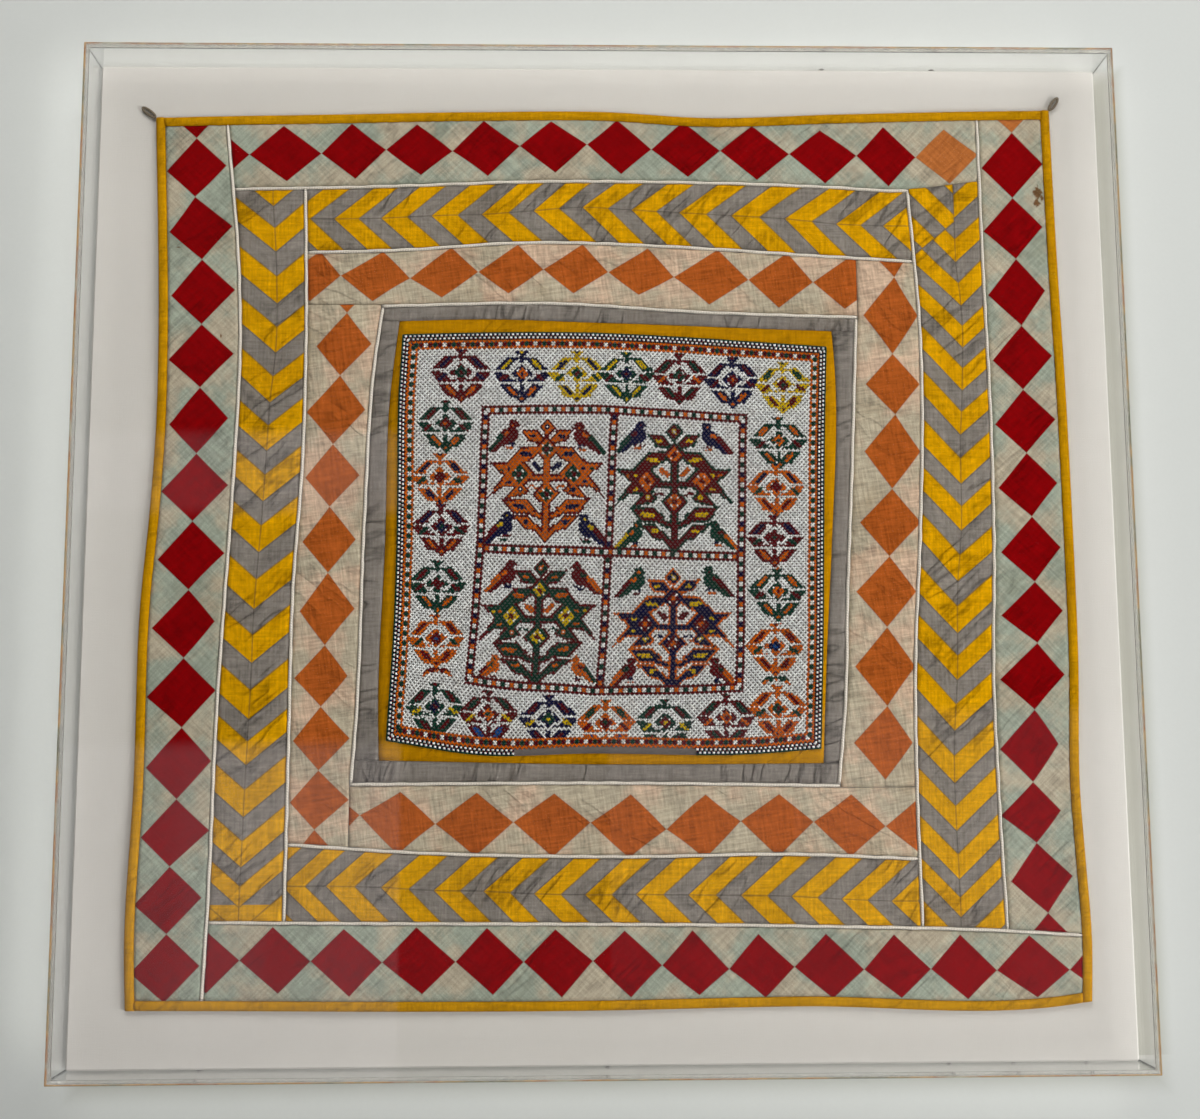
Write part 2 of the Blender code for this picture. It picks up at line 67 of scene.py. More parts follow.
@dataclass(frozen=True)
class Value:
    """A number or vector on a socket. Python's operators on it add Math nodes."""

    shader: "Shader"
    socket: bpy.types.NodeSocket

    def math(self, operation: str, *others: Number, first: "Value | float | None" = None) -> "Value":
        """Adds one Math node.

        Args:
            operation: Blender's name for it.
            others: The inputs after the first.
            first: What goes in first, if not this value.

        Returns:
            The node's result.
        """
        inputs = [self if first is None else first, *others]
        return self.shader.node("ShaderNodeMath", {"operation": operation}, dict(enumerate(inputs)))

    def __add__(self, other: Number) -> "Value":
        """The sum."""
        return self.math("ADD", other)

    def __radd__(self, other: float) -> "Value":
        """The sum, with the number first."""
        return self.math("ADD", other)

    def __sub__(self, other: Number) -> "Value":
        """The difference."""
        return self.math("SUBTRACT", other)

    def __rsub__(self, other: float) -> "Value":
        """The difference, with the number first."""
        return self.math("SUBTRACT", self, first=other)

    def __mul__(self, other: Number) -> "Value":
        """The product."""
        return self.math("MULTIPLY", other)

    def __rmul__(self, other: float) -> "Value":
        """The product, with the number first."""
        return self.math("MULTIPLY", other)

    def __truediv__(self, other: Number) -> "Value":
        """The quotient."""
        return self.math("DIVIDE", other)

    def above(self, other: Number) -> "Value":
        """1 where this value is greater, otherwise 0."""
        return self.math("GREATER_THAN", other)

    def least(self, other: Number) -> "Value":
        """The smaller of the two."""
        return self.math("MINIMUM", other)

    def most(self, other: Number) -> "Value":
        """The larger of the two."""
        return self.math("MAXIMUM", other)

    def size(self) -> "Value":
        """The value without its sign."""
        return self.math("ABSOLUTE")

    def part(self) -> "Value":
        """What is left above the whole number below."""
        return self.math("FRACT")

    def wave(self, pitch: float) -> "Value":
        """A sine from 0 to 1 that repeats after pitch."""
        return (self * (2 * math.pi / pitch)).math("SINE") * 0.5 + 0.5

    def ease(self, low: float, high: float) -> "Value":
        """0 at low and 1 at high, with a smooth step between them."""
        settings = {"interpolation_type": "SMOOTHSTEP"}
        return self.shader.node(
            "ShaderNodeMapRange", settings, {"Value": self, "From Min": low, "From Max": high}, "Result"
        )


class Shader:
    """The node tree of one material, with a Principled shader on its output."""

    def __init__(self, name: str) -> None:
        """Makes an empty material with a Principled shader."""
        self.material = bpy.data.materials.new(name)
        self.material.use_nodes = True
        self.tree = self.material.node_tree
        self.tree.nodes.clear()
        self.output = self.tree.nodes.new("ShaderNodeOutputMaterial")
        self.surface = self.tree.nodes.new("ShaderNodeBsdfPrincipled")
        self.face = Value(self, self.surface.outputs[0])
        self.finish(self.face)

    def feed(self, socket: bpy.types.NodeSocket, given: object) -> None:
        """Links a Value to a socket, or sets a plain number, vector or colour on it."""
        if isinstance(given, Value):
            self.tree.links.new(given.socket, socket)
        elif isinstance(given, tuple) and socket.type == "RGBA":
            socket.default_value = (*given[:3], 1.0)
        else:
            socket.default_value = given

    def node(self, kind: str, settings: dict, sockets: dict, result: "str | int" = 0) -> Value:
        """Adds any node: its settings first, then its sockets.

        Args:
            kind: The node's type.
            settings: Its options; "stops" is a ramp's list of (place, colour).
            sockets: Values, numbers or colours by socket name or number.
            result: The output that is returned.

        Returns:
            That output as a Value.
        """
        made = self.tree.nodes.new(kind)
        stops = settings.pop("stops", None)
        for name, setting in settings.items():
            setattr(made, name, setting)
        if stops:
            ramp = made.color_ramp.elements
            while len(ramp) < len(stops):
                ramp.new(0.5)
            for element, (place, colour) in zip(ramp, stops):
                element.position, element.color = place, (*colour, 1.0)
        for name, given in sockets.items():
            self.feed(made.inputs[name], given)
        return Value(self, made.outputs[result])

    def place(self) -> Value:
        """Where the point lies on the object, in millimetres."""
        metres = self.node("ShaderNodeTexCoord", {}, {}, "Object")
        return self.node("ShaderNodeVectorMath", {"operation": "SCALE"}, {0: metres, "Scale": 1 / MM})

    def axes(self) -> tuple[Value, Value, Value]:
        """The point's x, y and z on the object, in millimetres."""
        split = self.node("ShaderNodeSeparateXYZ", {}, {0: self.place()})
        return tuple(Value(self, out) for out in split.socket.node.outputs)

    def attribute(self, name: str) -> Value:
        """A number kept on the piece's points."""
        return self.node("ShaderNodeAttribute", {"attribute_name": name}, {}, "Fac")

    def noise(
        self, size: float, stretch: Colour = (1, 1, 1), detail: float = 3.0, rough: float = 0.5, lean: float = 0.0
    ) -> Value:
        """Noise from about 0 to 1.

        Args:
            size: The width of its patches in millimetres.
            stretch: How many times longer they are along each axis.
            detail: How many finer layers it has.
            rough: How strong the finer layers are.
            lean: How far its first axis is turned up from +X, in degrees.

        Returns:
            The noise.
        """
        scale = tuple(1 / (size * s) for s in stretch)
        place = self.place()
        if lean:
            turn = {"Vector": place, "Angle": math.radians(lean)}
            place = self.node("ShaderNodeVectorRotate", {"rotation_type": "Y_AXIS"}, turn)
        place = self.node("ShaderNodeVectorMath", {"operation": "MULTIPLY"}, {0: place, 1: scale})
        return self.node(
            "ShaderNodeTexNoise", {}, {"Vector": place, "Scale": 1.0, "Detail": detail, "Roughness": rough}, "Fac"
        )

    def blend(self, share: Number, low: "Value | Colour", high: "Value | Colour", how: str = "MIX") -> Value:
        """A colour between two: low at share 0 and high at share 1."""
        settings = {"data_type": "RGBA", "blend_type": how, "clamp_factor": True}
        return self.node("ShaderNodeMix", settings, {0: share, 6: low, 7: high}, 2)

    def shade(self, colour: "Value | Colour", factor: Value) -> Value:
        """A colour made lighter or darker by a factor near 1."""
        grey = self.node("ShaderNodeCombineXYZ", {}, {0: factor, 1: factor, 2: factor})
        return self.blend(1.0, colour, grey, "MULTIPLY")

    def ramp(self, factor: Value, *stops: tuple[float, Colour]) -> Value:
        """A colour read from a row of stops."""
        return self.node("ShaderNodeValToRGB", {"stops": list(stops)}, {0: factor}, "Color")

    def dress(self, **sockets: object) -> None:
        """Sets or links sockets of the Principled shader, by name with _ for a space."""
        for name, given in sockets.items():
            self.feed(self.surface.inputs[name.replace("_", " ")], given)

    def mixed(self, share: Value, first: Value, second: Value) -> Value:
        """Two surface shaders mixed: the first at share 0 and the second at share 1."""
        return self.node("ShaderNodeMixShader", {}, {0: share, 1: first, 2: second})

    def finish(self, surface: Value) -> None:
        """Puts a surface shader on the material's output."""
        self.feed(self.output.inputs["Surface"], surface)

    def relief(self, height: Value, depth: float, strength: float = 1.0) -> None:
        """A bump of this depth in millimetres, where height goes from 0 to 1."""
        bump = self.node("ShaderNodeBump", {}, {"Height": height, "Distance": depth * MM, "Strength": strength})
        self.dress(Normal=bump)


# ---------------------------------------------------------------- finishes


@dataclass(frozen=True)
class Finish:
    """What a surface is made of: each kind says how its material is painted."""

    slot: str

    def paint(self, shader: Shader) -> None:
        """Adds the nodes of this finish."""
        raise NotImplementedError

    def material(self, name: str) -> bpy.types.Material:
        """A new material with this finish."""
        shader = Shader(name)
        self.paint(shader)
        return shader.material


@dataclass(frozen=True)
class Cotton(Finish):
    """Plain hand-woven cotton: slubs along both threads, uneven dye and some soiling."""

    colour: Colour = (0.5, 0.5, 0.5)
    soil: Colour = (0.62, 0.5, 0.36)
    soiling: float = 0.25
    fading: float = 0.18
    thread: float = 0.55
    slubs: float = 0.7
    grain: float = 0.0
    # How strongly the creases darken the colour as painted shade, and how deep their bump is
    crease_shade_and_relief: float = 0.6
    lean: float = 40.0
    roughness: float = 0.86
    # Stains: x, z, half width and half height
    spots: tuple[tuple[float, float, float, float], ...] = ()

    def dye(self, shader: Shader) -> "Value | Colour":
        """The cloth's colour before ageing."""
        return self.colour

    def marks(self, shader: Shader) -> Value:
        """Where the cloth is stained: 1 within ragged ovals, faded towards their rims."""
        x, _, z = shader.axes()
        ragged = shader.noise(2.4, detail=3.0) * 0.9
        stain = x * 0.0
        for at_x, at_z, wide, high in self.spots:
            off = (((x - at_x) / wide).size() + ((z - at_z) / high).size()) * 0.75 + ragged
            stain = stain.most(1 - off.ease(0.85, 1.2))
        return stain

    def creases(self, shader: Shader) -> Value:
        """Sharp ridges where a long leaning noise crosses 0.5: 1 - |noise - 0.5| * 16, in some patches only."""
        soft = shader.noise(15, (3.6, 1, 1), 2.0, 0.45, lean=self.lean)
        sharp = 1 - ((soft - 0.5).size() * 16).least(1.0)
        return sharp * shader.noise(52, detail=1.0).ease(0.44, 0.6)

    def paint(self, shader: Shader) -> None:
        """Dye, then slubs, fading, painted shade along the creases and soiling over it, and a bump for the threads and
        creases.
        """
        weft = shader.noise(self.thread, (14, 14, 1), 2.0)
        warp = shader.noise(self.thread, (1, 14, 14), 2.0)
        threads = (weft + warp) * 0.5
        across = shader.noise(1.9, (11, 1, 1), 3.0, 0.6, lean=self.grain)
        slubs = (across + shader.noise(1.9, (1, 1, 11), 3.0, 0.6, lean=self.grain)) * 0.5
        mottled = shader.noise(7, detail=6.0, rough=0.7)
        patches = shader.noise(48, detail=4.0)
        creases = self.creases(shader)
        uneven = (patches - 0.5) * (self.fading * 2) + (mottled - 0.5) * (self.fading * 2)
        factor = 1 + uneven + (slubs - 0.5) * (2 * self.slubs) + (threads - 0.5) * 0.5
        # Painted shade: the colour darkens along the crease lines.
        colour = shader.shade(self.dye(shader), factor - creases * (0.3 * self.crease_shade_and_relief))
        dirt = shader.noise(70, detail=6.0, rough=0.65).ease(0.5, 0.8) * self.soiling
        colour = shader.blend(dirt, colour, self.soil, "MULTIPLY")
        if self.spots:
            colour = shader.blend(self.marks(shader), colour, (0.42, 0.22, 0.12), "MULTIPLY")
        shader.dress(Base_Color=colour, Roughness=self.roughness, Specular_IOR_Level=0.02)
        swell = shader.noise(11, (2.2, 1, 1), 2.0, lean=self.lean)
        shader.relief(threads * 0.1 + slubs * 0.18 + (creases * 0.45 + swell * 0.9) * self.crease_shade_and_relief, 2.0)


@dataclass(frozen=True)
class Diamonds(Cotton):
    """A row of cloth diamonds set corner to corner, each with a narrow turned edge darkened by painted shade."""

    diamond: Colour = (0.3, 0.01, 0.02)
    odd: Colour = (0.5, 0.2, 0.05)
    odd_from: float = 99.0
    turned_edge_shade: float = 0.03
    second: Colour = (0.3, 0.28, 0.22)

    def dye(self, shader: Shader) -> Value:
        """Inside |across| + |2 * part(along) - 1| = 1 the diamond's colour, and outside it the ground's, with painted
        shade along the turned edge.
        """
        along, across = shader.attribute("along"), shader.attribute("across")
        reach = across.size() + (along.part() * 2 - 1).size()
        inside = 1 - reach.ease(0.985, 1.005)
        ground = shader.blend(shader.noise(42, detail=5.0, rough=0.6).ease(0.42, 0.62), self.colour, self.second)
        fill = shader.blend(along.above(self.odd_from), self.diamond, self.odd)
        colour = shader.blend(inside, ground, fill)
        # Painted shade: a darker copy of the ground along the diamond's turned edge.
        edge = (1 - ((reach - 1).size() / self.turned_edge_shade).least(1.0)) * 0.3
        return shader.blend(edge, colour, tuple(0.3 * c for c in self.colour))


@dataclass(frozen=True)
class Chevrons(Cotton):
    """Slanting bands of two cottons that meet at a seam along the middle."""

    second: Colour = (0.24, 0.22, 0.2)
    share: float = 0.53
    solid_below: float = -9999.0
    pieced: tuple[float, ...] = ()

    def dye(self, shader: Shader) -> Value:
        """The first colour where part(along) is under the share, else the second, with dark seams between them.

        Above a piecing seam (its x, z, lean and shift) the left half's bands lie shift further along.
        """
        along, across = shader.attribute("along"), shader.attribute("across")
        seam = across.size()
        x, _, z = shader.axes()
        if self.pieced:
            at_x, at_z, lean, shift = self.pieced
            c, s = math.cos(math.radians(lean)), math.sin(math.radians(lean))
            past = (z - at_z) * c - (x - at_x) * s
            left = 1 - across.above(0.0)
            along = along + past.above(0.0) * left * shift
            seam = seam.least(past.size() * 0.8 + across.above(0.0) * 9)
        step = along.part()
        first = (step.ease(0.0, 0.02)) * (1 - step.ease(self.share, self.share + 0.02))
        first = first.most(1 - z.above(self.solid_below))
        colour = shader.blend(first, self.second, self.colour)
        joint = ((step - self.share).size().least(step.least(1 - step)) / 0.03).least(1.0)
        line = (1 - joint).most(1 - (seam / 0.9).least(1.0)) * 0.6
        streaks = shader.node("ShaderNodeCombineXYZ", {}, {0: along * 5.0, 1: seam * 0.05})
        streaks = shader.node("ShaderNodeTexNoise", {}, {"Vector": streaks, "Scale": 1.6, "Detail": 4.0}, "Fac")
        colour = shader.shade(colour, 0.72 + streaks * 0.56)
        return shader.blend(line, colour, (0.05, 0.04, 0.03))


@dataclass(frozen=True)
class Linen(Finish):
    """Pale linen stretched over the board and turned in at the back, where the bare fibreboard shows."""

    colour: Colour = (0.7, 0.66, 0.6)
    bare: Colour = srgb(150, 118, 84)
    half_wide: float = 414.0
    half_high: float = 403.0
    turned: float = 46.0

    def backed(self, shader: Shader, linen: Value) -> Value:
        """The linen's colour, and at the back the bare board inside the turned-in edge, with mitred corners; painted
        shade darkens the board along the linen's edge and the linen along the mitres.
        """
        x, y, z = shader.axes()
        ragged = shader.noise(4, detail=3.0) * 2.2
        off = (x.size() - (self.half_wide - self.turned)).most(z.size() - (self.half_high - self.turned)) + ragged
        fibre = shader.noise(1.6, (3, 3, 3), 5.0, 0.7)
        board = shader.shade(self.bare, 0.75 + fibre * 0.5)
        # Painted shade: a dark line on the board along the linen's turned edge.
        board = shader.blend((1 - (off + 1.2).size() * 0.5).most(0.0) * 0.6, board, (0.06, 0.05, 0.04))
        mitre = (x.size() - z.size() - (self.half_wide - self.half_high)).size()
        # Painted shade along the mitred folds of the linen.
        fold = shader.blend((1 - mitre * 0.8).most(0.0) * 0.55, linen, (0.16, 0.14, 0.12))
        back = shader.blend(1 - off.above(0.0), fold, board)
        return shader.blend(y.above(-0.4), linen, back)

    def paint(self, shader: Shader) -> None:
        """Threads about 0.9 mm apart both ways, and a faint unevenness."""
        weft = shader.noise(0.8, (16, 16, 1), 3.0)
        warp = shader.noise(0.8, (1, 16, 16), 3.0)
        threads = (weft + warp) * 0.5
        patches = shader.noise(120, detail=3.0)
        colour = shader.shade(self.colour, 1 + (threads - 0.5) * 0.22 + (patches - 0.5) * 0.08)
        shader.dress(Base_Color=self.backed(shader, colour), Roughness=0.9, Specular_IOR_Level=0.2)
        shader.relief(threads, 0.3, 0.5)


@dataclass(frozen=True)
class GlassBead(Finish):
    """Glossy opaque glass: each bead has its own shade and a little dust."""

    colour: Colour = (0.6, 0.55, 0.5)
    variation: float = 0.3

    def paint(self, shader: Shader) -> None:
        """The bead's shade from its own number, and dust in patches."""
        tone = shader.attribute("tone")
        colour = shader.shade(self.colour, 1 + (tone - 0.5) * (2 * self.variation))
        dust = shader.noise(14, detail=3.0)
        colour = shader.blend(dust.ease(0.5, 0.8) * 0.25, colour, (0.7, 0.6, 0.5), "MULTIPLY")
        shader.dress(Base_Color=colour, Roughness=0.3 + dust * 0.15, Specular_IOR_Level=0.08)


@dataclass(frozen=True)
class Netting(Finish):
    """The dark thread net that the beads are strung on."""

    colour: Colour = (0.13, 0.11, 0.10)

    def paint(self, shader: Shader) -> None:
        """Crossed threads."""
        threads = (shader.noise(0.5, (8, 8, 1), 2.0) + shader.noise(0.5, (1, 8, 8), 2.0)) * 0.5
        shader.dress(Base_Color=shader.shade(self.colour, 0.6 + threads * 0.8), Roughness=0.9)
        shader.relief(threads, 0.2, 0.6)


@dataclass(frozen=True)
class Cording(Finish):
    """Thread or cloth wound round a cord: ridges slant across it."""

    colour: Colour = (0.7, 0.66, 0.6)
    pitch: float = 1.1
    depth: float = 0.25
    groove_shade: float = 0.25

    def paint(self, shader: Shader) -> None:
        """Ridges at part(length + turn), both numbers kept on the cord's points, with painted shade in the grooves
        between them.
        """
        twist = (shader.attribute("length") / self.pitch + shader.attribute("turn")).wave(1.0)
        grime = shader.noise(25, detail=4.0)
        # Painted shade: the colour is darker in the grooves between the ridges.
        factor = 1 - self.groove_shade + twist * self.groove_shade + (grime - 0.5) * 0.25
        shader.dress(Base_Color=shader.shade(self.colour, factor), Roughness=0.85, Specular_IOR_Level=0.25)
        shader.relief(twist, self.depth, 0.7)


@dataclass(frozen=True)
class Steel(Finish):
    """A zinc-plated screw, a little dull."""

    def paint(self, shader: Shader) -> None:
        """Grey metal with fine scratches."""
        scratch = shader.noise(0.8, (6, 1, 1), 4.0)
        shader.dress(Base_Color=(0.42, 0.41, 0.39), Metallic=1.0, Roughness=0.28 + scratch * 0.25)
        shader.relief(scratch, 0.05, 0.3)


@dataclass(frozen=True)
class Acrylic(Finish):
    """Clear acrylic sheet: open faces, and sawn edges with a painted glow of amber, grey and green light."""

    edge_x: float = 9999.0
    edge_z: float = 9999.0
    rim_x: float = 9999.0
    rim_z: float = 9999.0
    painted_glow_share: float = 0.6
    painted_rim_share: float = 0.3

    def paint(self, shader: Shader) -> None:
        """Glass that lets lamps through, mixed with a solid painted edge glow where |x| or |z| pass it, and inside
        that a pale rim painted in for reflected light.
        """
        x, _, z = shader.axes()
        edge = x.size().above(self.edge_x).most(z.size().above(self.edge_z))
        rim = x.size().above(self.rim_x).most(z.size().above(self.rim_z))
        run = shader.noise(60, detail=3.0)
        fine = shader.noise(9, detail=3.0)
        # Painted light: the glow of the sawn edges, amber, grey and green.
        amber = shader.ramp(
            run * 0.75 + fine * 0.25,
            (0.34, srgb(132, 132, 112)),
            (0.42, srgb(156, 148, 118)),
            (0.50, srgb(210, 168, 104)),
            (0.56, srgb(184, 128, 84)),
            (0.66, srgb(202, 196, 172)),
        )
        shader.dress(Base_Color=(0.99, 0.985, 0.98), Roughness=0.02, IOR=1.49, Transmission_Weight=1.0)
        clear = shader.node("ShaderNodeBsdfTransparent", {}, {"Color": (0.965, 0.965, 0.96)})
        path = shader.node("ShaderNodeLightPath", {}, {}, "Is Shadow Ray")
        # Painted light: the edge glow, and elsewhere a pale colour for the rim's painted reflection.
        tint = shader.blend(edge, srgb(226, 224, 216), amber)
        solid = shader.node("ShaderNodeBsdfPrincipled", {}, {"Roughness": 0.25, "Base Color": tint})
        share = (edge * self.painted_glow_share).most(rim * self.painted_rim_share)
        shader.finish(shader.mixed(share, shader.mixed(path, shader.face, clear), solid))


# Dyes, as by daylight
RED = srgb(128, 1, 5)
CELADON = srgb(152, 160, 145)
YELLOW = srgb(206, 151, 2)
GREY = srgb(129, 123, 116)
RUST = srgb(167, 85, 32)
CREAM = srgb(178, 168, 146)


# ---------------------------------------------------------------- meshes


def add_mesh(
    name: str, points: Array, loops: Array, sizes: Array, marks: "dict[str, Array] | None" = None
) -> bpy.types.Object:
    """Puts worked-out points and faces into a new smooth-shaded object.

    Args:
        name: The piece's name.
        points: Its points in millimetres, one row each.
        loops: The corners of all faces, one after another.
        sizes: How many corners each face has.
        marks: Numbers kept on the points, by name.

    Returns:
        The object, linked to the scene, which rides on the body.
    """
    mesh = bpy.data.meshes.new(name)
    mesh.vertices.add(len(points))
    mesh.vertices.foreach_set("co", (points * MM).astype(np.float32).ravel())
    mesh.loops.add(len(loops))
    mesh.loops.foreach_set("vertex_index", loops.astype(np.int32))
    mesh.polygons.add(len(sizes))
    mesh.polygons.foreach_set("loop_start", (np.cumsum(sizes) - sizes).astype(np.int32))
    mesh.polygons.foreach_set("use_smooth", np.ones(len(sizes), bool))
    for mark, numbers in (marks or {}).items():
        mesh.attributes.new(mark, "FLOAT", "POINT").data.foreach_set("value", numbers.astype(np.float32).ravel())
    mesh.update(calc_edges=True)
    mesh.validate()
    obj = bpy.data.objects.new(name, mesh)
    bpy.context.scene.collection.objects.link(obj)
    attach(obj, "root")
    return obj


def quads(number: Array, wrap: bool = False) -> Array:
    """The corners of each cell in a grid of point numbers, anticlockwise where columns go right and rows go up."""
    if wrap:
        number = np.concatenate([number, number[:, :1]], axis=1)
    cells = [number[:-1, :-1], number[:-1, 1:], number[1:, 1:], number[1:, :-1]]
    return np.stack(cells, axis=-1).reshape(-1, 4)


def shell(name: str, front: Array, back: Array, marks: "dict[str, Array]") -> bpy.types.Object:
    """A closed sheet: a front grid, a back grid of the same size and a rim that joins them.

    Args:
        name: The piece's name.
        front: Its front points, as rows that go up and columns that go right.
        back: Its back points.
        marks: Numbers on the grid, kept on both sides.

    Returns:
        The object.
    """
    rows, columns = front.shape[:2]
    number = np.arange(rows * columns).reshape(rows, columns)
    behind = number + rows * columns
    around = np.concatenate([number[0, :-1], number[:-1, -1], number[-1, :0:-1], number[:0:-1, 0]])
    after = np.roll(around, -1)
    rim = np.stack([around, around + rows * columns, after + rows * columns, after], axis=1)
    faces = np.concatenate([quads(number), quads(behind)[:, ::-1], rim])
    points = np.concatenate([front.reshape(-1, 3), back.reshape(-1, 3)])
    doubled = {mark: np.concatenate([n.ravel(), n.ravel()]) for mark, n in marks.items()}
    return add_mesh(name, points, faces.ravel(), np.full(len(faces), 4), doubled)


def tube(name: str, path: Array, radius: Array, around: int, closed: bool = False) -> bpy.types.Object:
    """A round cord along a path that lies nearly in an upright plane.

    The ring at each point is centre + radius * (cos(a) * side + sin(a) * out), where out is -Y and side
    lies across the path; an open cord's ends close on a point.

    Args:
        name: The piece's name.
        path: Its centre line in millimetres.
        radius: The radius at each point.
        around: How many points a ring has.
        closed: Whether the path is a loop.

    Returns:
        The object, with its length and turn kept on its points.
    """
    ahead = np.roll(path, -1, axis=0) - np.roll(path, 1, axis=0) if closed else np.gradient(path, axis=0)
    ahead /= np.linalg.norm(ahead, axis=1, keepdims=True)
    out = np.array([0.0, -1.0, 0.0]) - ahead * (-ahead[:, 1:2])
    out /= np.linalg.norm(out, axis=1, keepdims=True)
    side = np.cross(out, ahead)
    angle = np.arange(around) * 2 * math.pi / around
    ring = side[:, None] * np.cos(angle)[None, :, None] + out[:, None] * np.sin(angle)[None, :, None]
    points = path[:, None] + ring * radius[:, None, None]
    steps = np.linalg.norm(np.diff(path, axis=0, append=path[:1] if closed else path[-1:]), axis=1)
    length = np.concatenate([[0.0], np.cumsum(steps)[:-1]])
    number = np.arange(len(path) * around).reshape(len(path), around)
    if closed:
        number = np.concatenate([number, number[:1]])
    faces = quads(number, wrap=True)
    loops, sizes = [faces.ravel()], [np.full(len(faces), 4)]
    marks = {"length": np.repeat(length, around), "turn": np.tile(np.arange(around) / around, len(path))}
    points = points.reshape(-1, 3)
    if not closed:
        for end, ring_number, flip in ((path[0], number[0], True), (path[-1], number[-1], False)):
            pole = len(points)
            points = np.concatenate([points, end[None]])
            following = np.roll(ring_number, -1)
            fan = np.stack([ring_number, following, np.full(around, pole)], axis=1)
            loops.append((fan[:, ::-1] if flip else fan).ravel())
            sizes.append(np.full(around, 3))
        marks = {mark: np.concatenate([n, n[[0, -1]]]) for mark, n in marks.items()}
    return add_mesh(name, points, np.concatenate(loops), np.concatenate(sizes), marks)


def dress(obj: bpy.types.Object, finish: Finish, material: "bpy.types.Material | None" = None) -> None:
    """Gives a piece its finish, with a material of its own unless one is shared."""
    obj.data.materials.clear()
    obj.data.materials.append(material or finish.material(f"{obj.name}_finish"))


# ---------------------------------------------------------------- the cloth's layout


@dataclass(frozen=True)
class Seam:
    """A seam or edge of the cloth, read at a few places along it.

    rows holds (place, offset) pairs in rising order of place. A seam that runs down the cloth is read
    at heights z and gives x there; one that runs across is read at x and gives z.
    """

    rows: tuple[tuple[float, float], ...]

    def __call__(self, place: "Array | float") -> Array:
        """The offset at each place, on a smooth curve through the readings."""
        at, offset = np.array(self.rows, float).T
        slope = np.gradient(offset, at)
        place = np.clip(place, at[0], at[-1])
        i = np.clip(np.searchsorted(at, place) - 1, 0, len(at) - 2)
        step = at[i + 1] - at[i]
        t = (place - at[i]) / step
        bend_in = slope[i] * step * t * (1 - t) ** 2
        bend_out = slope[i + 1] * step * t * t * (t - 1)
        ease = t * t * (3 - 2 * t)
        return offset[i] * (1 - ease) + offset[i + 1] * ease + bend_in + bend_out

    def moved(self, by: float) -> "Seam":
        """The same seam, this far along the direction of its offset."""
        return Seam(tuple((at, offset + by) for at, offset in self.rows))


def level(offset: float) -> Seam:
    """A straight seam at one offset."""
    return Seam(((-400, offset), (400, offset)))


def corner(down: Seam, across: Seam) -> tuple[float, float]:
    """Where a seam down the cloth meets one across it: each is read at the other in turn."""
    x, z = 0.0, 0.0
    for _ in range(8):
        x = float(down(z))
        z = float(across(x))
    return x, z


def lift(x: Array, z: Array) -> Array:
    """How far the cloth stands off the board: two crossing swells, never below the board."""
    upright = 1 + np.sin(x / 34 + 1.6 * np.sin(z / 70))
    crossing = 1 + np.sin(z / 41 + x / 95)
    return 0.45 * upright + 0.35 * crossing


# Seams that run down the cloth: (height z, x)
EDGE_LEFT = Seam(
    ((-372, -382), (-330, -384), (-198, -381), (-46, -380), (27, -375), (101, -372), (172, -372), (370, -380))
)
BORDER_LEFT = Seam(
    ((-365, -322), (-287, -319), (-142, -316), (14, -309), (88, -306), (168, -304), (228, -306), (362, -319))
)
CHEVRON_LEFT = Seam(((-296, -258), (-143, -257), (-34, -256), (76, -250), (168, -249), (308, -252)))
RUST_LEFT = Seam(((-191, -206), (-147, -203), (27, -198), (159, -191), (204, -185)))
RUST_RIGHT = Seam(((-197, 191), (-130, 198), (-40, 202), (62, 208), (197, 215)))
CHEVRON_RIGHT = Seam(
    ((-311, 256), (-201, 255), (-92, 257), (11, 264), (115, 269), (186, 269), (245, 266), (308, 262))
)
BORDER_RIGHT = Seam(((-313, 325), (-201, 322), (-117, 321), (11, 326), (102, 327), (234, 325), (371, 324)))
EDGE_RIGHT = Seam(
    ((-370, 391), (-323, 393), (-258, 391), (-202, 389), (-93, 392), (129, 391), (234, 389), (380, 387))
)
GROUND_LEFT = Seam(((-175, -184), (-128, -185), (1, -181), (129, -178), (192, -171)))
GROUND_RIGHT = Seam(((-179, 179), (-71, 185), (1, 190), (149, 196), (184, 194)))
BEADS_LEFT = Seam(((-160, -178), (-42, -172), (44, -171), (121, -171), (181, -168)))
BEADS_RIGHT = Seam(((-168, 177), (-71, 181), (1, 183), (101, 186), (171, 189)))

# Seams that run across the cloth: (x, height z)
EDGE_BOTTOM = Seam(((-379, -371), (-284, -372), (-44, -374), (156, -372), (376, -372), (389, -370)))
BORDER_BOTTOM = Seam(((-319, -303), (-149, -305), (157, -309), (325, -314), (387, -318)))
CHEVRON_BOTTOM = Seam(((-255, -242), (-150, -249), (13, -253), (158, -252), (250, -256)))
RUST_BOTTOM = Seam(((-206, -194), (13, -194), (191, -197)))
RUST_TOP = Seam(((-185, 205), (-44, 208), (71, 201), (215, 196)))
CHEVRON_TOP = Seam(((-247, 252), (-172, 254), (-61, 261), (83, 256), (165, 251), (264, 245)))
BORDER_TOP = Seam(((-313, 307), (-159, 311), (-40, 315), (84, 314), (194, 311), (260, 308), (323, 315)))
EDGE_TOP = Seam(((-380, 370), (-258, 373), (-106, 376), (4, 377), (85, 372), (204, 376), (387, 380)))
GROUND_BOTTOM = Seam(((-184, -175), (0, -179), (179, -179)))
GROUND_TOP = Seam(((-171, 192), (-100, 194), (0, 191), (194, 184)))
BEADS_BOTTOM = Seam(((-178, -159), (-100, -171), (-15, -170), (122, -171), (177, -167)))
BEADS_TOP = Seam(((-168, 180), (-100, 182), (-15, 182), (71, 178), (189, 170)))

BOARD = 12.0
GAP = 0.3
CLOTH = 2.0
BINDING = 7.5
BINDING_DEEP = 3.0
PIPING = 1.35
BESIDE_PIPING = PIPING + GAP
CELL = 3.0


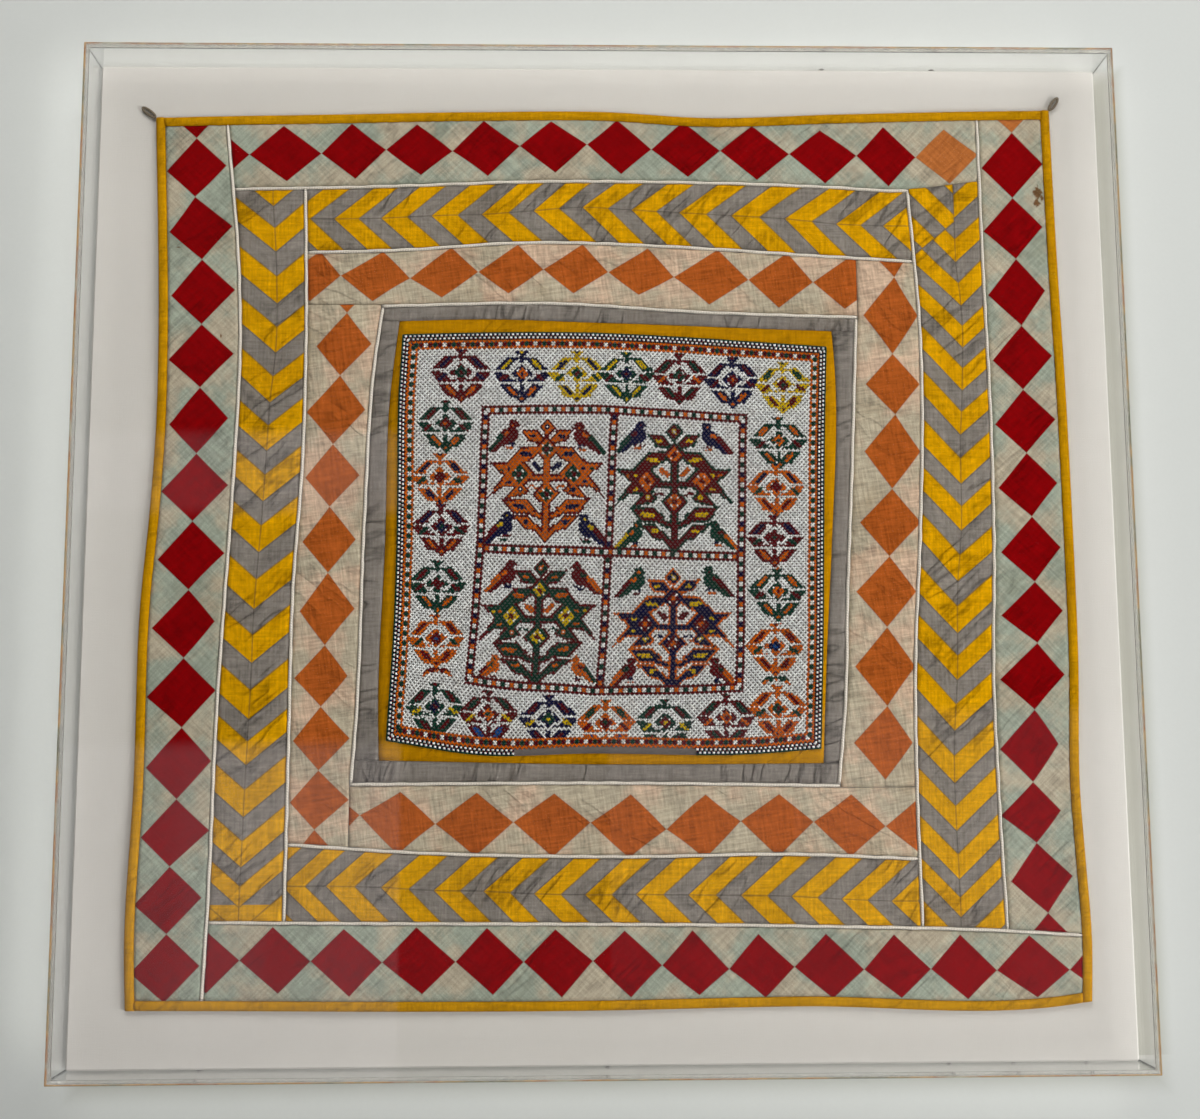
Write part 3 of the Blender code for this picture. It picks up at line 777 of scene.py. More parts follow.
@dataclass(frozen=True)
class Patch:
    """The four seams round a piece of cloth, and a seam along its middle if it has one."""

    left: Seam
    right: Seam
    bottom: Seam
    top: Seam
    middle: "Seam | None" = None

    def at(self, u: Array, v: Array) -> tuple[Array, Array]:
        """The points at the share u from left to right and v from bottom to top.

        x = left(z) * (1 - u) + right(z) * u and z = bottom(x) * (1 - v) + top(x) * v, solved in turn. A
        middle seam takes the place of a side for the half that it bounds.

        Args:
            u: Shares across.
            v: Shares up.

        Returns:
            The points' x and z.
        """
        x, z = np.zeros_like(u), np.zeros_like(v)
        down = self.upright
        for _ in range(8):
            low, high = self.left(z), self.right(z)
            if self.middle and down:
                mid = self.middle(z)
                x = np.where(u < 0.5, low + (mid - low) * 2 * u, mid + (high - mid) * (2 * u - 1))
            else:
                x = low * (1 - u) + high * u
            low, high = self.bottom(x), self.top(x)
            if self.middle and not down:
                mid = self.middle(x)
                z = np.where(v < 0.5, low + (mid - low) * 2 * v, mid + (high - mid) * (2 * v - 1))
            else:
                z = low * (1 - v) + high * v
        return x, z

    @property
    def size(self) -> tuple[float, float]:
        """The width and height at the patch's middle."""
        x = (float(self.left(0)) + float(self.right(0))) / 2
        z = (float(self.bottom(x)) + float(self.top(x))) / 2
        return float(self.right(z) - self.left(z)), float(self.top(x) - self.bottom(x))

    @property
    def upright(self) -> bool:
        """Whether it is taller than wide."""
        wide, high = self.size
        return high > wide

    @property
    def flat(self) -> tuple[float, float]:
        """The width and height it was cut to: its length, and its mean width between the two long seams."""
        _, _, x, z = self.grid(CELL)
        wide, high = self.size
        if self.upright:
            return float((x[:, -1] - x[:, 0]).mean()), high
        return wide, float((z[-1] - z[0]).mean())

    def grid(self, cell: float) -> tuple[Array, Array, Array, Array]:
        """Shares and places on a grid of about this cell.

        Args:
            cell: The cells' width in millimetres.

        Returns:
            u, v, x and z, each as rows that go up.
        """
        wide, high = self.size
        columns, rows = 2 * max(2, round(wide / cell / 2)), 2 * max(2, round(high / cell / 2))
        v, u = np.meshgrid(np.linspace(0, 1, rows + 1), np.linspace(0, 1, columns + 1), indexing="ij")
        return u, v, *self.at(u, v)


@dataclass(frozen=True)
class Fold:
    """A crease in the cloth: a low ridge through a point, leaning from +X by some degrees."""

    x: float
    z: float
    lean: float
    length: float
    height: float = 0.7
    width: float = 3.0

    def rise(self, x: Array, z: Array) -> Array:
        """height * exp(-(off / width)^2) * (1 - (run / (length / 2))^2)^2 within the crease's length."""
        c, s = math.cos(math.radians(self.lean)), math.sin(math.radians(self.lean))
        run = (x - self.x) * c + (z - self.z) * s
        off = (z - self.z) * c - (x - self.x) * s
        fade = np.clip(1 - (2 * run / self.length) ** 2, 0, 1) ** 2
        return self.height * np.exp(-((off / self.width) ** 2)) * fade


@dataclass
class Sheet:
    """One piece of cloth on the board, with its creases and the pucker of its seams."""

    name: str
    patch: Patch
    finish: Finish
    cell: float = CELL
    thickness: float = CLOTH
    stand: float = 0.0
    pucker: float = 0.35
    folds: tuple[Fold, ...] = ()
    trims: tuple = ()

    def marks(self, x: Array, z: Array) -> dict[str, Array]:
        """Numbers for the pattern, kept on the points."""
        return {}

    def rise(self, u: Array, v: Array, x: Array, z: Array) -> Array:
        """Puckers, pucker * exp(-off / 9) * sine of the place along each side, then the creases and turned edges."""
        wide, high = self.patch.size
        raised = np.zeros_like(x)
        for off, along in ((u * wide, z), ((1 - u) * wide, z), (v * high, x), ((1 - v) * high, x)):
            ripple = 0.5 + 0.5 * np.sin(along / 2.6 + 2.2 * np.sin(along / 23) + 0.5 * off)
            raised += self.pucker * np.exp(-off / 9) * ripple
            raised -= 0.55 * np.exp(-((off / 1.6) ** 2))
        for fold in self.folds:
            raised += fold.rise(x, z)
        return raised

    def build(self) -> bpy.types.Object:
        """Makes the sheet as a closed shell.

        Returns:
            The piece, dressed.
        """
        u, v, x, z = self.patch.grid(self.cell)
        rest = BOARD + GAP + self.stand + lift(x, z)
        front = np.stack([x, -(rest + self.thickness + self.rise(u, v, x, z)), z], axis=-1)
        back = np.stack([x, -rest, z], axis=-1)
        obj = shell(f"{self.name}_cloth", front, back, self.marks(x, z))
        dress(obj, self.finish)
        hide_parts(self.name)
        self.declare(obj)
        LOG.info("%s: %d faces", self.name, len(obj.data.polygons))
        return obj

    def declare(self, obj: bpy.types.Object) -> None:
        """Works out the size the piece was cut to, and does nothing with it."""
        wide, high = self.patch.flat


@dataclass
class DiamondStrip(Sheet):
    """A strip of diamonds: where they touch, and how far their tips reach either way."""

    joints: tuple[tuple[float, float], ...] = ()
    low: tuple[float, ...] = ()
    high: tuple[float, ...] = ()
    skew: tuple[float, float] = (0.0, 0.0)

    def marks(self, x: Array, z: Array) -> dict[str, Array]:
        """along counts diamonds from the first joint; across is -1 and 1 at their tips, which skew moves along."""
        place, offset = (z, x) if self.patch.upright else (x, z)
        at, centre = np.array(self.joints, float).T
        middles = (at[:-1] + at[1:]) / 2
        middle = np.interp(place, at, centre)
        up = np.interp(place, middles, self.high) - middle
        down = middle - np.interp(place, middles, self.low)
        across = np.where(offset > middle, (offset - middle) / up, (offset - middle) / down)
        shift = np.where(across > 0, self.skew[1], self.skew[0]) * np.minimum(np.abs(across), 1)
        return {"along": np.interp(place - shift, at, np.arange(len(at))), "across": across}


@dataclass
class ChevronStrip(Sheet):
    """A strip of slanting bands: where the first cotton's points lie on the middle seam, and their slants."""

    points: tuple[float, ...] = ()
    slants: tuple[float, float] = (1.0, 1.0)

    def marks(self, x: Array, z: Array) -> dict[str, Array]:
        """along counts bands at place - slant * |offset from the middle seam|; across is that offset."""
        place, offset = (z, x) if self.patch.upright else (x, z)
        off = offset - self.patch.middle(place)
        slant = np.where(off < 0, self.slants[0], self.slants[1])
        at = np.array(self.points, float)
        pitch = np.diff(at).mean()
        at = np.concatenate([at[0] - pitch * np.arange(4, 0, -1), at, at[-1] + pitch * np.arange(1, 4)])
        return {"along": np.interp(place - slant * np.abs(off), at, np.arange(len(at))), "across": off}


def border_patches() -> dict[str, Patch]:
    """The patch of each strip, which stops short of the piping in a seam and of the folded binding."""
    bind, pipe, butt = BINDING + GAP, BESIDE_PIPING, GAP / 2
    edge_left, edge_right = EDGE_LEFT.moved(bind), EDGE_RIGHT.moved(-bind)
    edge_bottom, edge_top = EDGE_BOTTOM.moved(bind), EDGE_TOP.moved(-bind)
    red_left, red_right = BORDER_LEFT.moved(pipe), BORDER_RIGHT.moved(-pipe)
    red_bottom, red_top = BORDER_BOTTOM.moved(pipe), BORDER_TOP.moved(-pipe)
    outer_left, outer_right = CHEVRON_LEFT.moved(pipe), CHEVRON_RIGHT.moved(-pipe)
    outer_bottom, outer_top = CHEVRON_BOTTOM.moved(pipe), CHEVRON_TOP.moved(-pipe)
    inner_left, inner_right = RUST_LEFT.moved(pipe), RUST_RIGHT.moved(-pipe)
    inner_bottom, inner_top = RUST_BOTTOM.moved(pipe), RUST_TOP.moved(-pipe)
    band_bottom, band_top = GROUND_BOTTOM.moved(butt), GROUND_TOP.moved(-butt)
    past = PIPING - butt
    rust_low = level(corner(RUST_RIGHT, RUST_BOTTOM)[1] - past)
    rust_high = level(corner(RUST_LEFT, RUST_TOP)[1] + past)
    rust_left = level(corner(RUST_LEFT, RUST_BOTTOM)[0] - past)
    rust_right = level(corner(RUST_RIGHT, RUST_TOP)[0] + past)
    return {
        "red_border_left": Patch(edge_left, BORDER_LEFT.moved(-pipe), edge_bottom, edge_top),
        "red_border_top": Patch(red_left, red_right, BORDER_TOP.moved(pipe), edge_top),
        "red_border_right": Patch(BORDER_RIGHT.moved(pipe), edge_right, red_bottom, edge_top),
        "red_border_bottom": Patch(red_left, edge_right, edge_bottom, BORDER_BOTTOM.moved(-pipe)),
        "chevron_border_left": Patch(red_left, CHEVRON_LEFT.moved(-pipe), red_bottom, red_top),
        "chevron_border_top": Patch(outer_left, outer_right, CHEVRON_TOP.moved(pipe), red_top),
        "chevron_border_right": Patch(
            CHEVRON_RIGHT.moved(pipe), red_right, red_bottom, BORDER_TOP.moved(pipe - GAP)
        ),
        "chevron_border_bottom": Patch(outer_left, outer_right, red_bottom, CHEVRON_BOTTOM.moved(-pipe)),
        "rust_border_left": Patch(outer_left, RUST_LEFT.moved(-pipe), outer_bottom, rust_high),
        "rust_border_top": Patch(outer_left, rust_right, RUST_TOP.moved(pipe), outer_top),
        "rust_border_right": Patch(RUST_RIGHT.moved(pipe), outer_right, rust_low, outer_top),
        "rust_border_bottom": Patch(rust_left, outer_right, outer_bottom, RUST_BOTTOM.moved(-pipe)),
        "grey_band_left": Patch(inner_left, GROUND_LEFT.moved(-butt), band_bottom, band_top),
        "grey_band_top": Patch(inner_left, inner_right, GROUND_TOP.moved(butt), inner_top),
        "grey_band_right": Patch(GROUND_RIGHT.moved(butt), inner_right, band_bottom, band_top),
        "grey_band_bottom": Patch(inner_left, inner_right, inner_bottom, GROUND_BOTTOM.moved(-butt)),
        "yellow_ground": Patch(
            GROUND_LEFT.moved(butt), GROUND_RIGHT.moved(-butt), GROUND_BOTTOM.moved(butt), GROUND_TOP.moved(-butt)
        ),
    }


@dataclass
class RedBorder:
    """The outer border: red diamonds on a mottled grey-green ground, with two orange ones."""

    finish: Diamonds = Diamonds(
        "red_cotton", CELADON, diamond=RED, odd=srgb(176, 104, 52), second=srgb(177, 167, 146), soiling=0.4,
        slubs=0.8, lean=42.0, grain=45.0, spots=(
            (374.4, 306.4, 6.0, 8.0), (373.4, 297.2, 4.2, 5.0), (378.0, 302.0, 2.4, 4.0),
            (-357.5, 255.6, 4.0, 0.7), (-320.2, 179.0, 0.8, 3.0),
        ),
    )
    # name, first orange diamond, skew, where the diamonds touch (along, across), and their tips either way
    strips: tuple = (
        ("red_border_left", 99.0, (-3.6, 1.8),
         ((-365, -351.5), (-311.5, -351), (-258.5, -350), (-205, -346), (-147.5, -343.5), (-91, -343.5), (-35, -341),
          (22, -339.5), (79, -338), (135, -336.5), (189, -336.5), (245, -337.5), (300, -345), (352, -345),
          (405, -347)),
         (-379, -377.5, -373.5, -371.5, -373, -370, -367, -366, -361, -363.5, -362.5, -366, -370, -370),
         (-324, -324, -319, -319, -316.5, -319, -312.5, -311, -312.5, -309, -309, -312.5, -319, -320)),
        ("red_border_top", 11.0, (1.6, -2.0),
         ((-356, 337), (-300, 337.5), (-239, 339), (-184, 342.5), (-127.5, 341), (-70, 346), (-12.5, 348),
          (42.5, 343.5), (101.5, 342.5), (161, 340), (219, 339), (270, 337.5), (324, 340)),
         (312, 314, 316.5, 320, 319, 322.5, 321.5, 319, 316.5, 314, 311.5, 314),
         (363, 363.5, 366, 365, 368.5, 368.5, 370, 368.5, 365, 361.5, 365, 362.5)),
        ("red_border_right", 13.0, (-2.8, 1.4),
         ((-354, 360), (-300, 358.5), (-244, 351.5), (-195, 350.5), (-136, 354), (-81, 358.5), (-30, 358.5),
          (25, 358.5), (79, 356), (133.5, 355), (189, 356), (247.5, 353.5), (301.5, 352.5), (360, 354), (414, 355)),
         (332, 329, 322.5, 324, 326, 329, 331, 331, 330, 330, 328, 326, 326.5, 328),
         (384, 380, 372.5, 372.5, 380, 381, 381.5, 381, 381.5, 381, 377.5, 377.5, 380, 380)),
        ("red_border_bottom", 99.0, (2.8, -2.3),
         ((-350, -332), (-292.5, -332.5), (-236, -333.5), (-179, -335), (-120.5, -335), (-66, -335.5), (-10.5, -335),
          (45, -339), (99, -342.5), (151.5, -341), (207.5, -343.5), (261.5, -343.5), (315, -345), (374, -345),
          (430, -345)),
         (-358, -358.5, -361.5, -360, -361, -363.5, -364, -362.5, -365, -366, -366, -367.5, -366.5, -367),
         (-306, -306.5, -308.5, -307.5, -308.5, -310, -311.5, -311.5, -315, -315, -316, -316.5, -317.5, -318)),
    )

    def build(self, patches: dict[str, Patch], bindings: dict[str, bpy.types.Object]) -> None:
        """Makes the four strips, each with the binding at its outer edge."""
        for name, odd_from, skew, joints, low, high in self.strips:
            trims = (bindings[name.rsplit("_", 1)[1]],)
            finish = replace(self.finish, odd_from=odd_from)
            DiamondStrip(
                name, patches[name], finish, trims=trims, joints=joints, low=low, high=high, skew=skew
            ).build()


@dataclass
class RustBorder:
    """The inner pieced border: rust diamonds on a cream ground."""

    finish: Diamonds = Diamonds(
        "rust_cotton", CREAM, diamond=RUST, second=srgb(198, 172, 148), soiling=0.5, fading=0.2, slubs=1.1,
        lean=-35.0, grain=8.0,
    )
    # name, skew, where the diamonds touch (along, across), and their tips either way
    strips: tuple = (
        ("rust_border_left", (-2.0, 0.0),
         ((-284, -237), (-230, -235), (-182.5, -232.5), (-131, -231.5), (-81, -229), (-21, -227.5), (34, -227),
          (86.5, -225), (145, -220), (199, -215), (253, -213)),
         (-258, -255, -253.5, -253.5, -250, -249, -247.5, -247.5, -240, -238),
         (-210, -207.5, -207.5, -210, -205, -205, -202.5, -198.5, -194, -192)),
        ("rust_border_top", (-2.0, 6.0),
         ((-268, 231), (-221, 231.5), (-162.5, 229), (-105, 235), (-50, 237.5), (5, 235), (60.5, 230.5), (124, 228.5),
          (179, 226.5), (236, 225)),
         (209, 209, 212.5, 216.5, 216.5, 215, 206.5, 204, 203),
         (253, 252.5, 256, 259, 260, 256, 255, 252.5, 251)),
        ("rust_border_right", (0.0, 0.0),
         ((-192.5, 229), (-132.5, 232.5), (-67.5, 234), (-8.5, 237.5), (48.5, 241.5), (112, 246), (164, 245),
          (231, 248.5), (290, 249)),
         (204, 206.5, 209, 213.5, 219, 221.5, 221, 222),
         (252.5, 256.5, 259, 265, 266.5, 267.5, 267.5, 266)),
        ("rust_border_bottom", (0.5, 2.0),
         ((-256, -217), (-198.5, -218.5), (-137.5, -226), (-74.5, -225), (-12, -225.5), (49.5, -231.5), (110, -225),
          (169.5, -226), (228, -230), (288, -231)),
         (-248, -250, -252, -253, -254, -255, -254, -254, -254),
         (-196, -200, -201, -202, -203, -203.5, -203.5, -204, -204)),
    )

    def build(self, patches: dict[str, Patch]) -> None:
        """Makes the four strips."""
        for name, skew, joints, low, high in self.strips:
            DiamondStrip(name, patches[name], self.finish, joints=joints, low=low, high=high, skew=skew).build()


@dataclass
class ChevronBorder:
    """The middle border: slanting bands of yellow and grey either side of a seam."""

    finish: Chevrons = Chevrons(
        "chevron_cotton", YELLOW, second=GREY, soiling=0.35, fading=0.2, slubs=0.9, crease_shade_and_relief=1.2
    )
    # The piecing seam of the right strip: x, z, lean and shift
    joint: tuple[float, ...] = (301.4, 280.0, 40.0, 0.45)
    creases: tuple[Fold, ...] = (
        Fold(-120, 292, 38, 60), Fold(-40, 296, 52, 55), Fold(20, 282, 30, 60), Fold(110, 292, -35, 55),
        Fold(180, 280, 40, 50),
    )
    # name, plain yellow below, the middle seam, where the yellow points lie on it, and the bands' slants
    strips: tuple = (
        ("chevron_border_left", -289.0,
         ((-290, -294), (-200, -291.7), (-100, -288.3), (-50, -287.3), (0, -284.3), (80, -280), (120, -278.3),
          (164, -274.3), (250, -275.7), (300, -279.3)),
         (-291, -260, -220, -178.3, -141.7, -95.7, -51.7, -4.3, 38.3, 81, 121.7, 164.3, 206.7, 252, 291.7, 334),
         (0.85, 0.85)),
        ("chevron_border_right", -9999.0,
         ((-300, 287.3), (-153, 287.3), (-112, 290.7), (-30, 294), (12, 298.3), (94, 300.7), (132, 303.3),
          (205, 304.7), (244, 301.3)),
         (-303, -273.3, -234.3, -196, -153.3, -111.7, -73.3, -30, 12.7, 52.3, 94.3, 132.3, 169.3, 205.7, 244, 283),
         (1.05, 0.92)),
        ("chevron_border_top", -9999.0,
         ((-228, 281.3), (-188, 282), (-145, 284), (-103, 285.3), (-59, 288.7), (-17, 292), (25, 289.7), (65, 287.3),
          (110, 284.7), (156, 282.3), (200, 278), (240, 276.3)),
         (-270, -227.7, -188, -145.3, -102.7, -58.7, -17, 24.7, 65.3, 109.7, 155.7, 199.7, 239.7),
         (1.05, 1.25)),
        ("chevron_border_bottom", -9999.0,
         ((-225, -274.7), (-181, -276), (-139, -278.7), (-99, -279.7), (-58, -282), (-17, -283), (24, -283),
          (66, -283.7), (109, -284.3), (150, -285.3), (190, -287.7), (231, -289.7)),
         (-260, -225.3, -181, -138.7, -98.7, -58, -17, 24, 66.3, 109, 149.7, 190.3, 230.7),
         (1.05, 1.12)),
    )

    def build(self, patches: dict[str, Patch]) -> None:
        """Makes the four strips."""
        for name, solid_below, middle, points, slants in self.strips:
            sides = patches[name]
            patch = Patch(sides.left, sides.right, sides.bottom, sides.top, Seam(middle))
            folds = self.creases if name == "chevron_border_top" else ()
            pieced = self.joint if name == "chevron_border_right" else ()
            lean = 38.0 if patch.upright else 50.0
            finish = replace(self.finish, solid_below=solid_below, lean=lean, pieced=pieced)
            ChevronStrip(name, patch, finish, points=points, slants=slants, folds=folds).build()


@dataclass
class InnerCloth:
    """The grey frame band and the yellow ground inside it."""

    grey: Cotton = Cotton("grey_cotton", GREY, soiling=0.3, fading=0.2, crease_shade_and_relief=1.3)
    yellow: Cotton = Cotton("yellow_cotton", srgb(179, 126, 2), soiling=0.2, fading=0.12)

    def build(self, patches: dict[str, Patch]) -> None:
        """Makes the four grey strips and the ground."""
        for side in ("left", "top", "right", "bottom"):
            name = f"grey_band_{side}"
            lean = 78.0 if side in ("top", "bottom") else 12.0
            Sheet(name, patches[name], replace(self.grey, lean=lean), pucker=0.4).build()
        Sheet("yellow_ground", patches["yellow_ground"], self.yellow, cell=6.0, pucker=0.3).build()


@dataclass
class Binding(Sheet):
    """A folded yellow edge: its front is rounded across its width."""

    crown: float = 0.5

    def rise(self, u: Array, v: Array, x: Array, z: Array) -> Array:
        """A soft roll, crown * sin(pi * across)^0.6, with small gathers along it."""
        across, along = (u, z) if self.patch.upright else (v, x)
        roll = np.sin(math.pi * np.clip(across, 0, 1)) ** 0.6
        gathers = 0.15 * np.sin(along / 3.1 + 2 * np.sin(along / 17))
        return self.crown * (2.6 * roll - 1.6) + gathers * roll

    def declare(self, obj: bpy.types.Object) -> None:
        """Does nothing for a binding."""


@dataclass
class Bindings:
    """The folded edge all round: the sides run the full height and the ends fit between them."""

    finish: Cotton = Cotton("binding_cotton", srgb(188, 136, 4), soiling=0.25, fading=0.15)

    def build(self) -> dict[str, bpy.types.Object]:
        """Makes the four lengths, and returns them by side."""
        wide, clear = BINDING, BINDING + GAP
        inner_left, inner_right = EDGE_LEFT.moved(clear), EDGE_RIGHT.moved(-clear)
        sides = {
            "binding_left": Patch(EDGE_LEFT, EDGE_LEFT.moved(wide), EDGE_BOTTOM, EDGE_TOP),
            "binding_right": Patch(EDGE_RIGHT.moved(-wide), EDGE_RIGHT, EDGE_BOTTOM, EDGE_TOP),
            "binding_bottom": Patch(inner_left, inner_right, EDGE_BOTTOM, EDGE_BOTTOM.moved(wide)),
            "binding_top": Patch(inner_left, inner_right, EDGE_TOP.moved(-wide), EDGE_TOP),
        }
        made = {}
        for name, patch in sides.items():
            made[name.rsplit("_", 1)[1]] = Binding(
                name, patch, self.finish, cell=2.2, thickness=BINDING_DEEP
            ).build()
        return made


@dataclass
class Piping:
    """The white cords sewn into the seams, each covered in cloth."""

    finish: Cording = Cording("piping_cord", srgb(226, 219, 206), pitch=2.2, depth=0.3, groove_shade=0.14)
    step: float = 3.0
    around: int = 8

    def lines(self) -> dict[str, tuple[Seam, bool, float, float]]:
        """Each cord's seam, whether it runs down the cloth, and its two ends."""
        bind, pipe, past = BINDING + GAP, BESIDE_PIPING, PIPING - 2 * GAP
        made = {}
        # name, seam, down, the seams it starts and stops at, how far past the first and short of the second
        rows = (
            ("border_left", BORDER_LEFT, True, EDGE_BOTTOM, EDGE_TOP, bind, bind),
            ("border_right", BORDER_RIGHT, True, BORDER_BOTTOM, EDGE_TOP, pipe, bind),
            ("border_bottom", BORDER_BOTTOM, False, BORDER_LEFT, EDGE_RIGHT, pipe, bind),
            ("border_top", BORDER_TOP, False, BORDER_LEFT, CHEVRON_RIGHT, pipe, -past),
            ("chevron_left", CHEVRON_LEFT, True, BORDER_BOTTOM, BORDER_TOP, pipe, pipe),
            ("chevron_right", CHEVRON_RIGHT, True, BORDER_BOTTOM, BORDER_TOP, pipe, pipe),
            ("chevron_bottom", CHEVRON_BOTTOM, False, CHEVRON_LEFT, CHEVRON_RIGHT, pipe, pipe),
            ("chevron_top", CHEVRON_TOP, False, CHEVRON_LEFT, CHEVRON_RIGHT, pipe, pipe),
            ("rust_left", RUST_LEFT, True, RUST_BOTTOM, RUST_TOP, pipe, pipe),
            ("rust_right", RUST_RIGHT, True, RUST_BOTTOM, RUST_TOP, pipe, pipe),
            ("rust_bottom", RUST_BOTTOM, False, RUST_LEFT, RUST_RIGHT, -past, -past),
            ("rust_top", RUST_TOP, False, RUST_LEFT, RUST_RIGHT, -past, -past),
        )
        for name, seam, down, before, after, near, far in rows:
            meets = [corner(seam, end) if down else corner(end, seam) for end in (before, after)]
            made[f"piping_{name}"] = (seam, down, meets[0][down] + near, meets[1][down] - far)
        return made

    def build(self) -> None:
        """Makes the twelve cords, a little uneven in thickness and line."""
        material = self.finish.material("piping_finish")
        for name, (seam, down, start, stop) in self.lines().items():
            place = np.linspace(start, stop, max(8, round((stop - start) / self.step)) + 1)
            fade = np.minimum(1, np.minimum(place - start, stop - place) / 8)
            offset = seam(place) + 0.14 * np.sin(place / 5.3 + 2 * np.sin(place / 31)) * fade
            x, z = (offset, place) if down else (place, offset)
            proud = 0.25 * (1 + np.sin(place / 7.7 + 1.5 * np.sin(place / 19)))
            y = -(BOARD + GAP + PIPING + lift(x, z) + proud)
            radius = PIPING * (0.94 + 0.06 * np.sin(place / 3.9 + np.sin(place / 13)))
            radius[[0, -1]] *= 0.55
            obj = tube(f"{name}_cord", np.stack([x, y, z], axis=1), radius, self.around)
            dress(obj, self.finish, material)
            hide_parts(name)
        LOG.info("piping: %d cords", len(self.lines()))


@dataclass
class CornerLoops:
    """A ring of twisted thread at each top corner."""

    finish: Cording = Cording("loop_thread", srgb(132, 120, 102), pitch=0.9, depth=0.3, groove_shade=0.4)
    width: float = 5.6
    thread: float = 1.0
    rise: float = 0.9
    turns: int = 9
    steps: int = 96
    rings: tuple = (
        ("corner_loop_left", (-380.4, 370.5), 142.6, 15.0),
        ("corner_loop_right", (387.3, 380.4), 54.7, 14.5),
    )

    def build(self) -> None:
        """Two strands wind round the loop's line: line + 0.5 * (cos(w) * outward + sin(w) * forward)."""
        for name, root, lean_deg, length in self.rings:
            lean, reach = math.radians(lean_deg), length / 2
            t = np.arange(self.steps) * 2 * math.pi / self.steps
            strands = []
            for strand in range(2):
                wind = self.turns * t + math.pi * strand
                grow = 0.5 * np.cos(wind)
                along = reach + (reach - self.thread + grow) * np.cos(t)
                side = (self.width / 2 - self.thread + grow) * np.sin(t)
                x = root[0] + along * math.cos(lean) - side * math.sin(lean)
                z = root[1] + along * math.sin(lean) + side * math.cos(lean)
                y = -(BOARD + GAP + self.thread + self.rise) - 0.5 * np.sin(wind)
                path = np.stack([x, y, z], axis=1)
                piece = name if strand == 0 else f"{name}_strand"
                strands.append(tube(piece + "_cord", path, np.full(self.steps, 0.78), 8, closed=True))
            for obj in strands:
                dress(obj, self.finish)
            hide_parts(name)
        LOG.info("corner loops: %d rings", len(self.rings))


# ---------------------------------------------------------------- the beadwork


class Bead(IntEnum):
    """The beads' colours."""

    WHITE = 0
    MAROON = 1
    ORANGE = 2
    GREEN = 3
    NAVY = 4
    YELLOW = 5
    BLUE = 6


BEAD_GLASS = {
    Bead.WHITE: srgb(224, 226, 224),
    Bead.MAROON: srgb(92, 0, 10),
    Bead.ORANGE: srgb(200, 94, 0),
    Bead.GREEN: srgb(0, 57, 43),
    Bead.NAVY: srgb(2, 10, 58),
    Bead.YELLOW: srgb(204, 172, 0),
    Bead.BLUE: srgb(6, 72, 140),
}


@dataclass
class BeadRun:
    """Beads gathered from every part of the panel: where each lies, which way it is strung, and its colour."""

    x: Array
    z: Array
    lean: Array
    colour: Array
    size: Array

    @staticmethod
    def joined(runs: "list[BeadRun]") -> "BeadRun":
        """All the runs in one."""
        return BeadRun(*(np.concatenate(parts) for parts in zip(*(vars(run).values() for run in runs))))

    def some(self, chosen: Array) -> "BeadRun":
        """The chosen beads alone."""
        return BeadRun(*(part[chosen] for part in vars(self).values()))


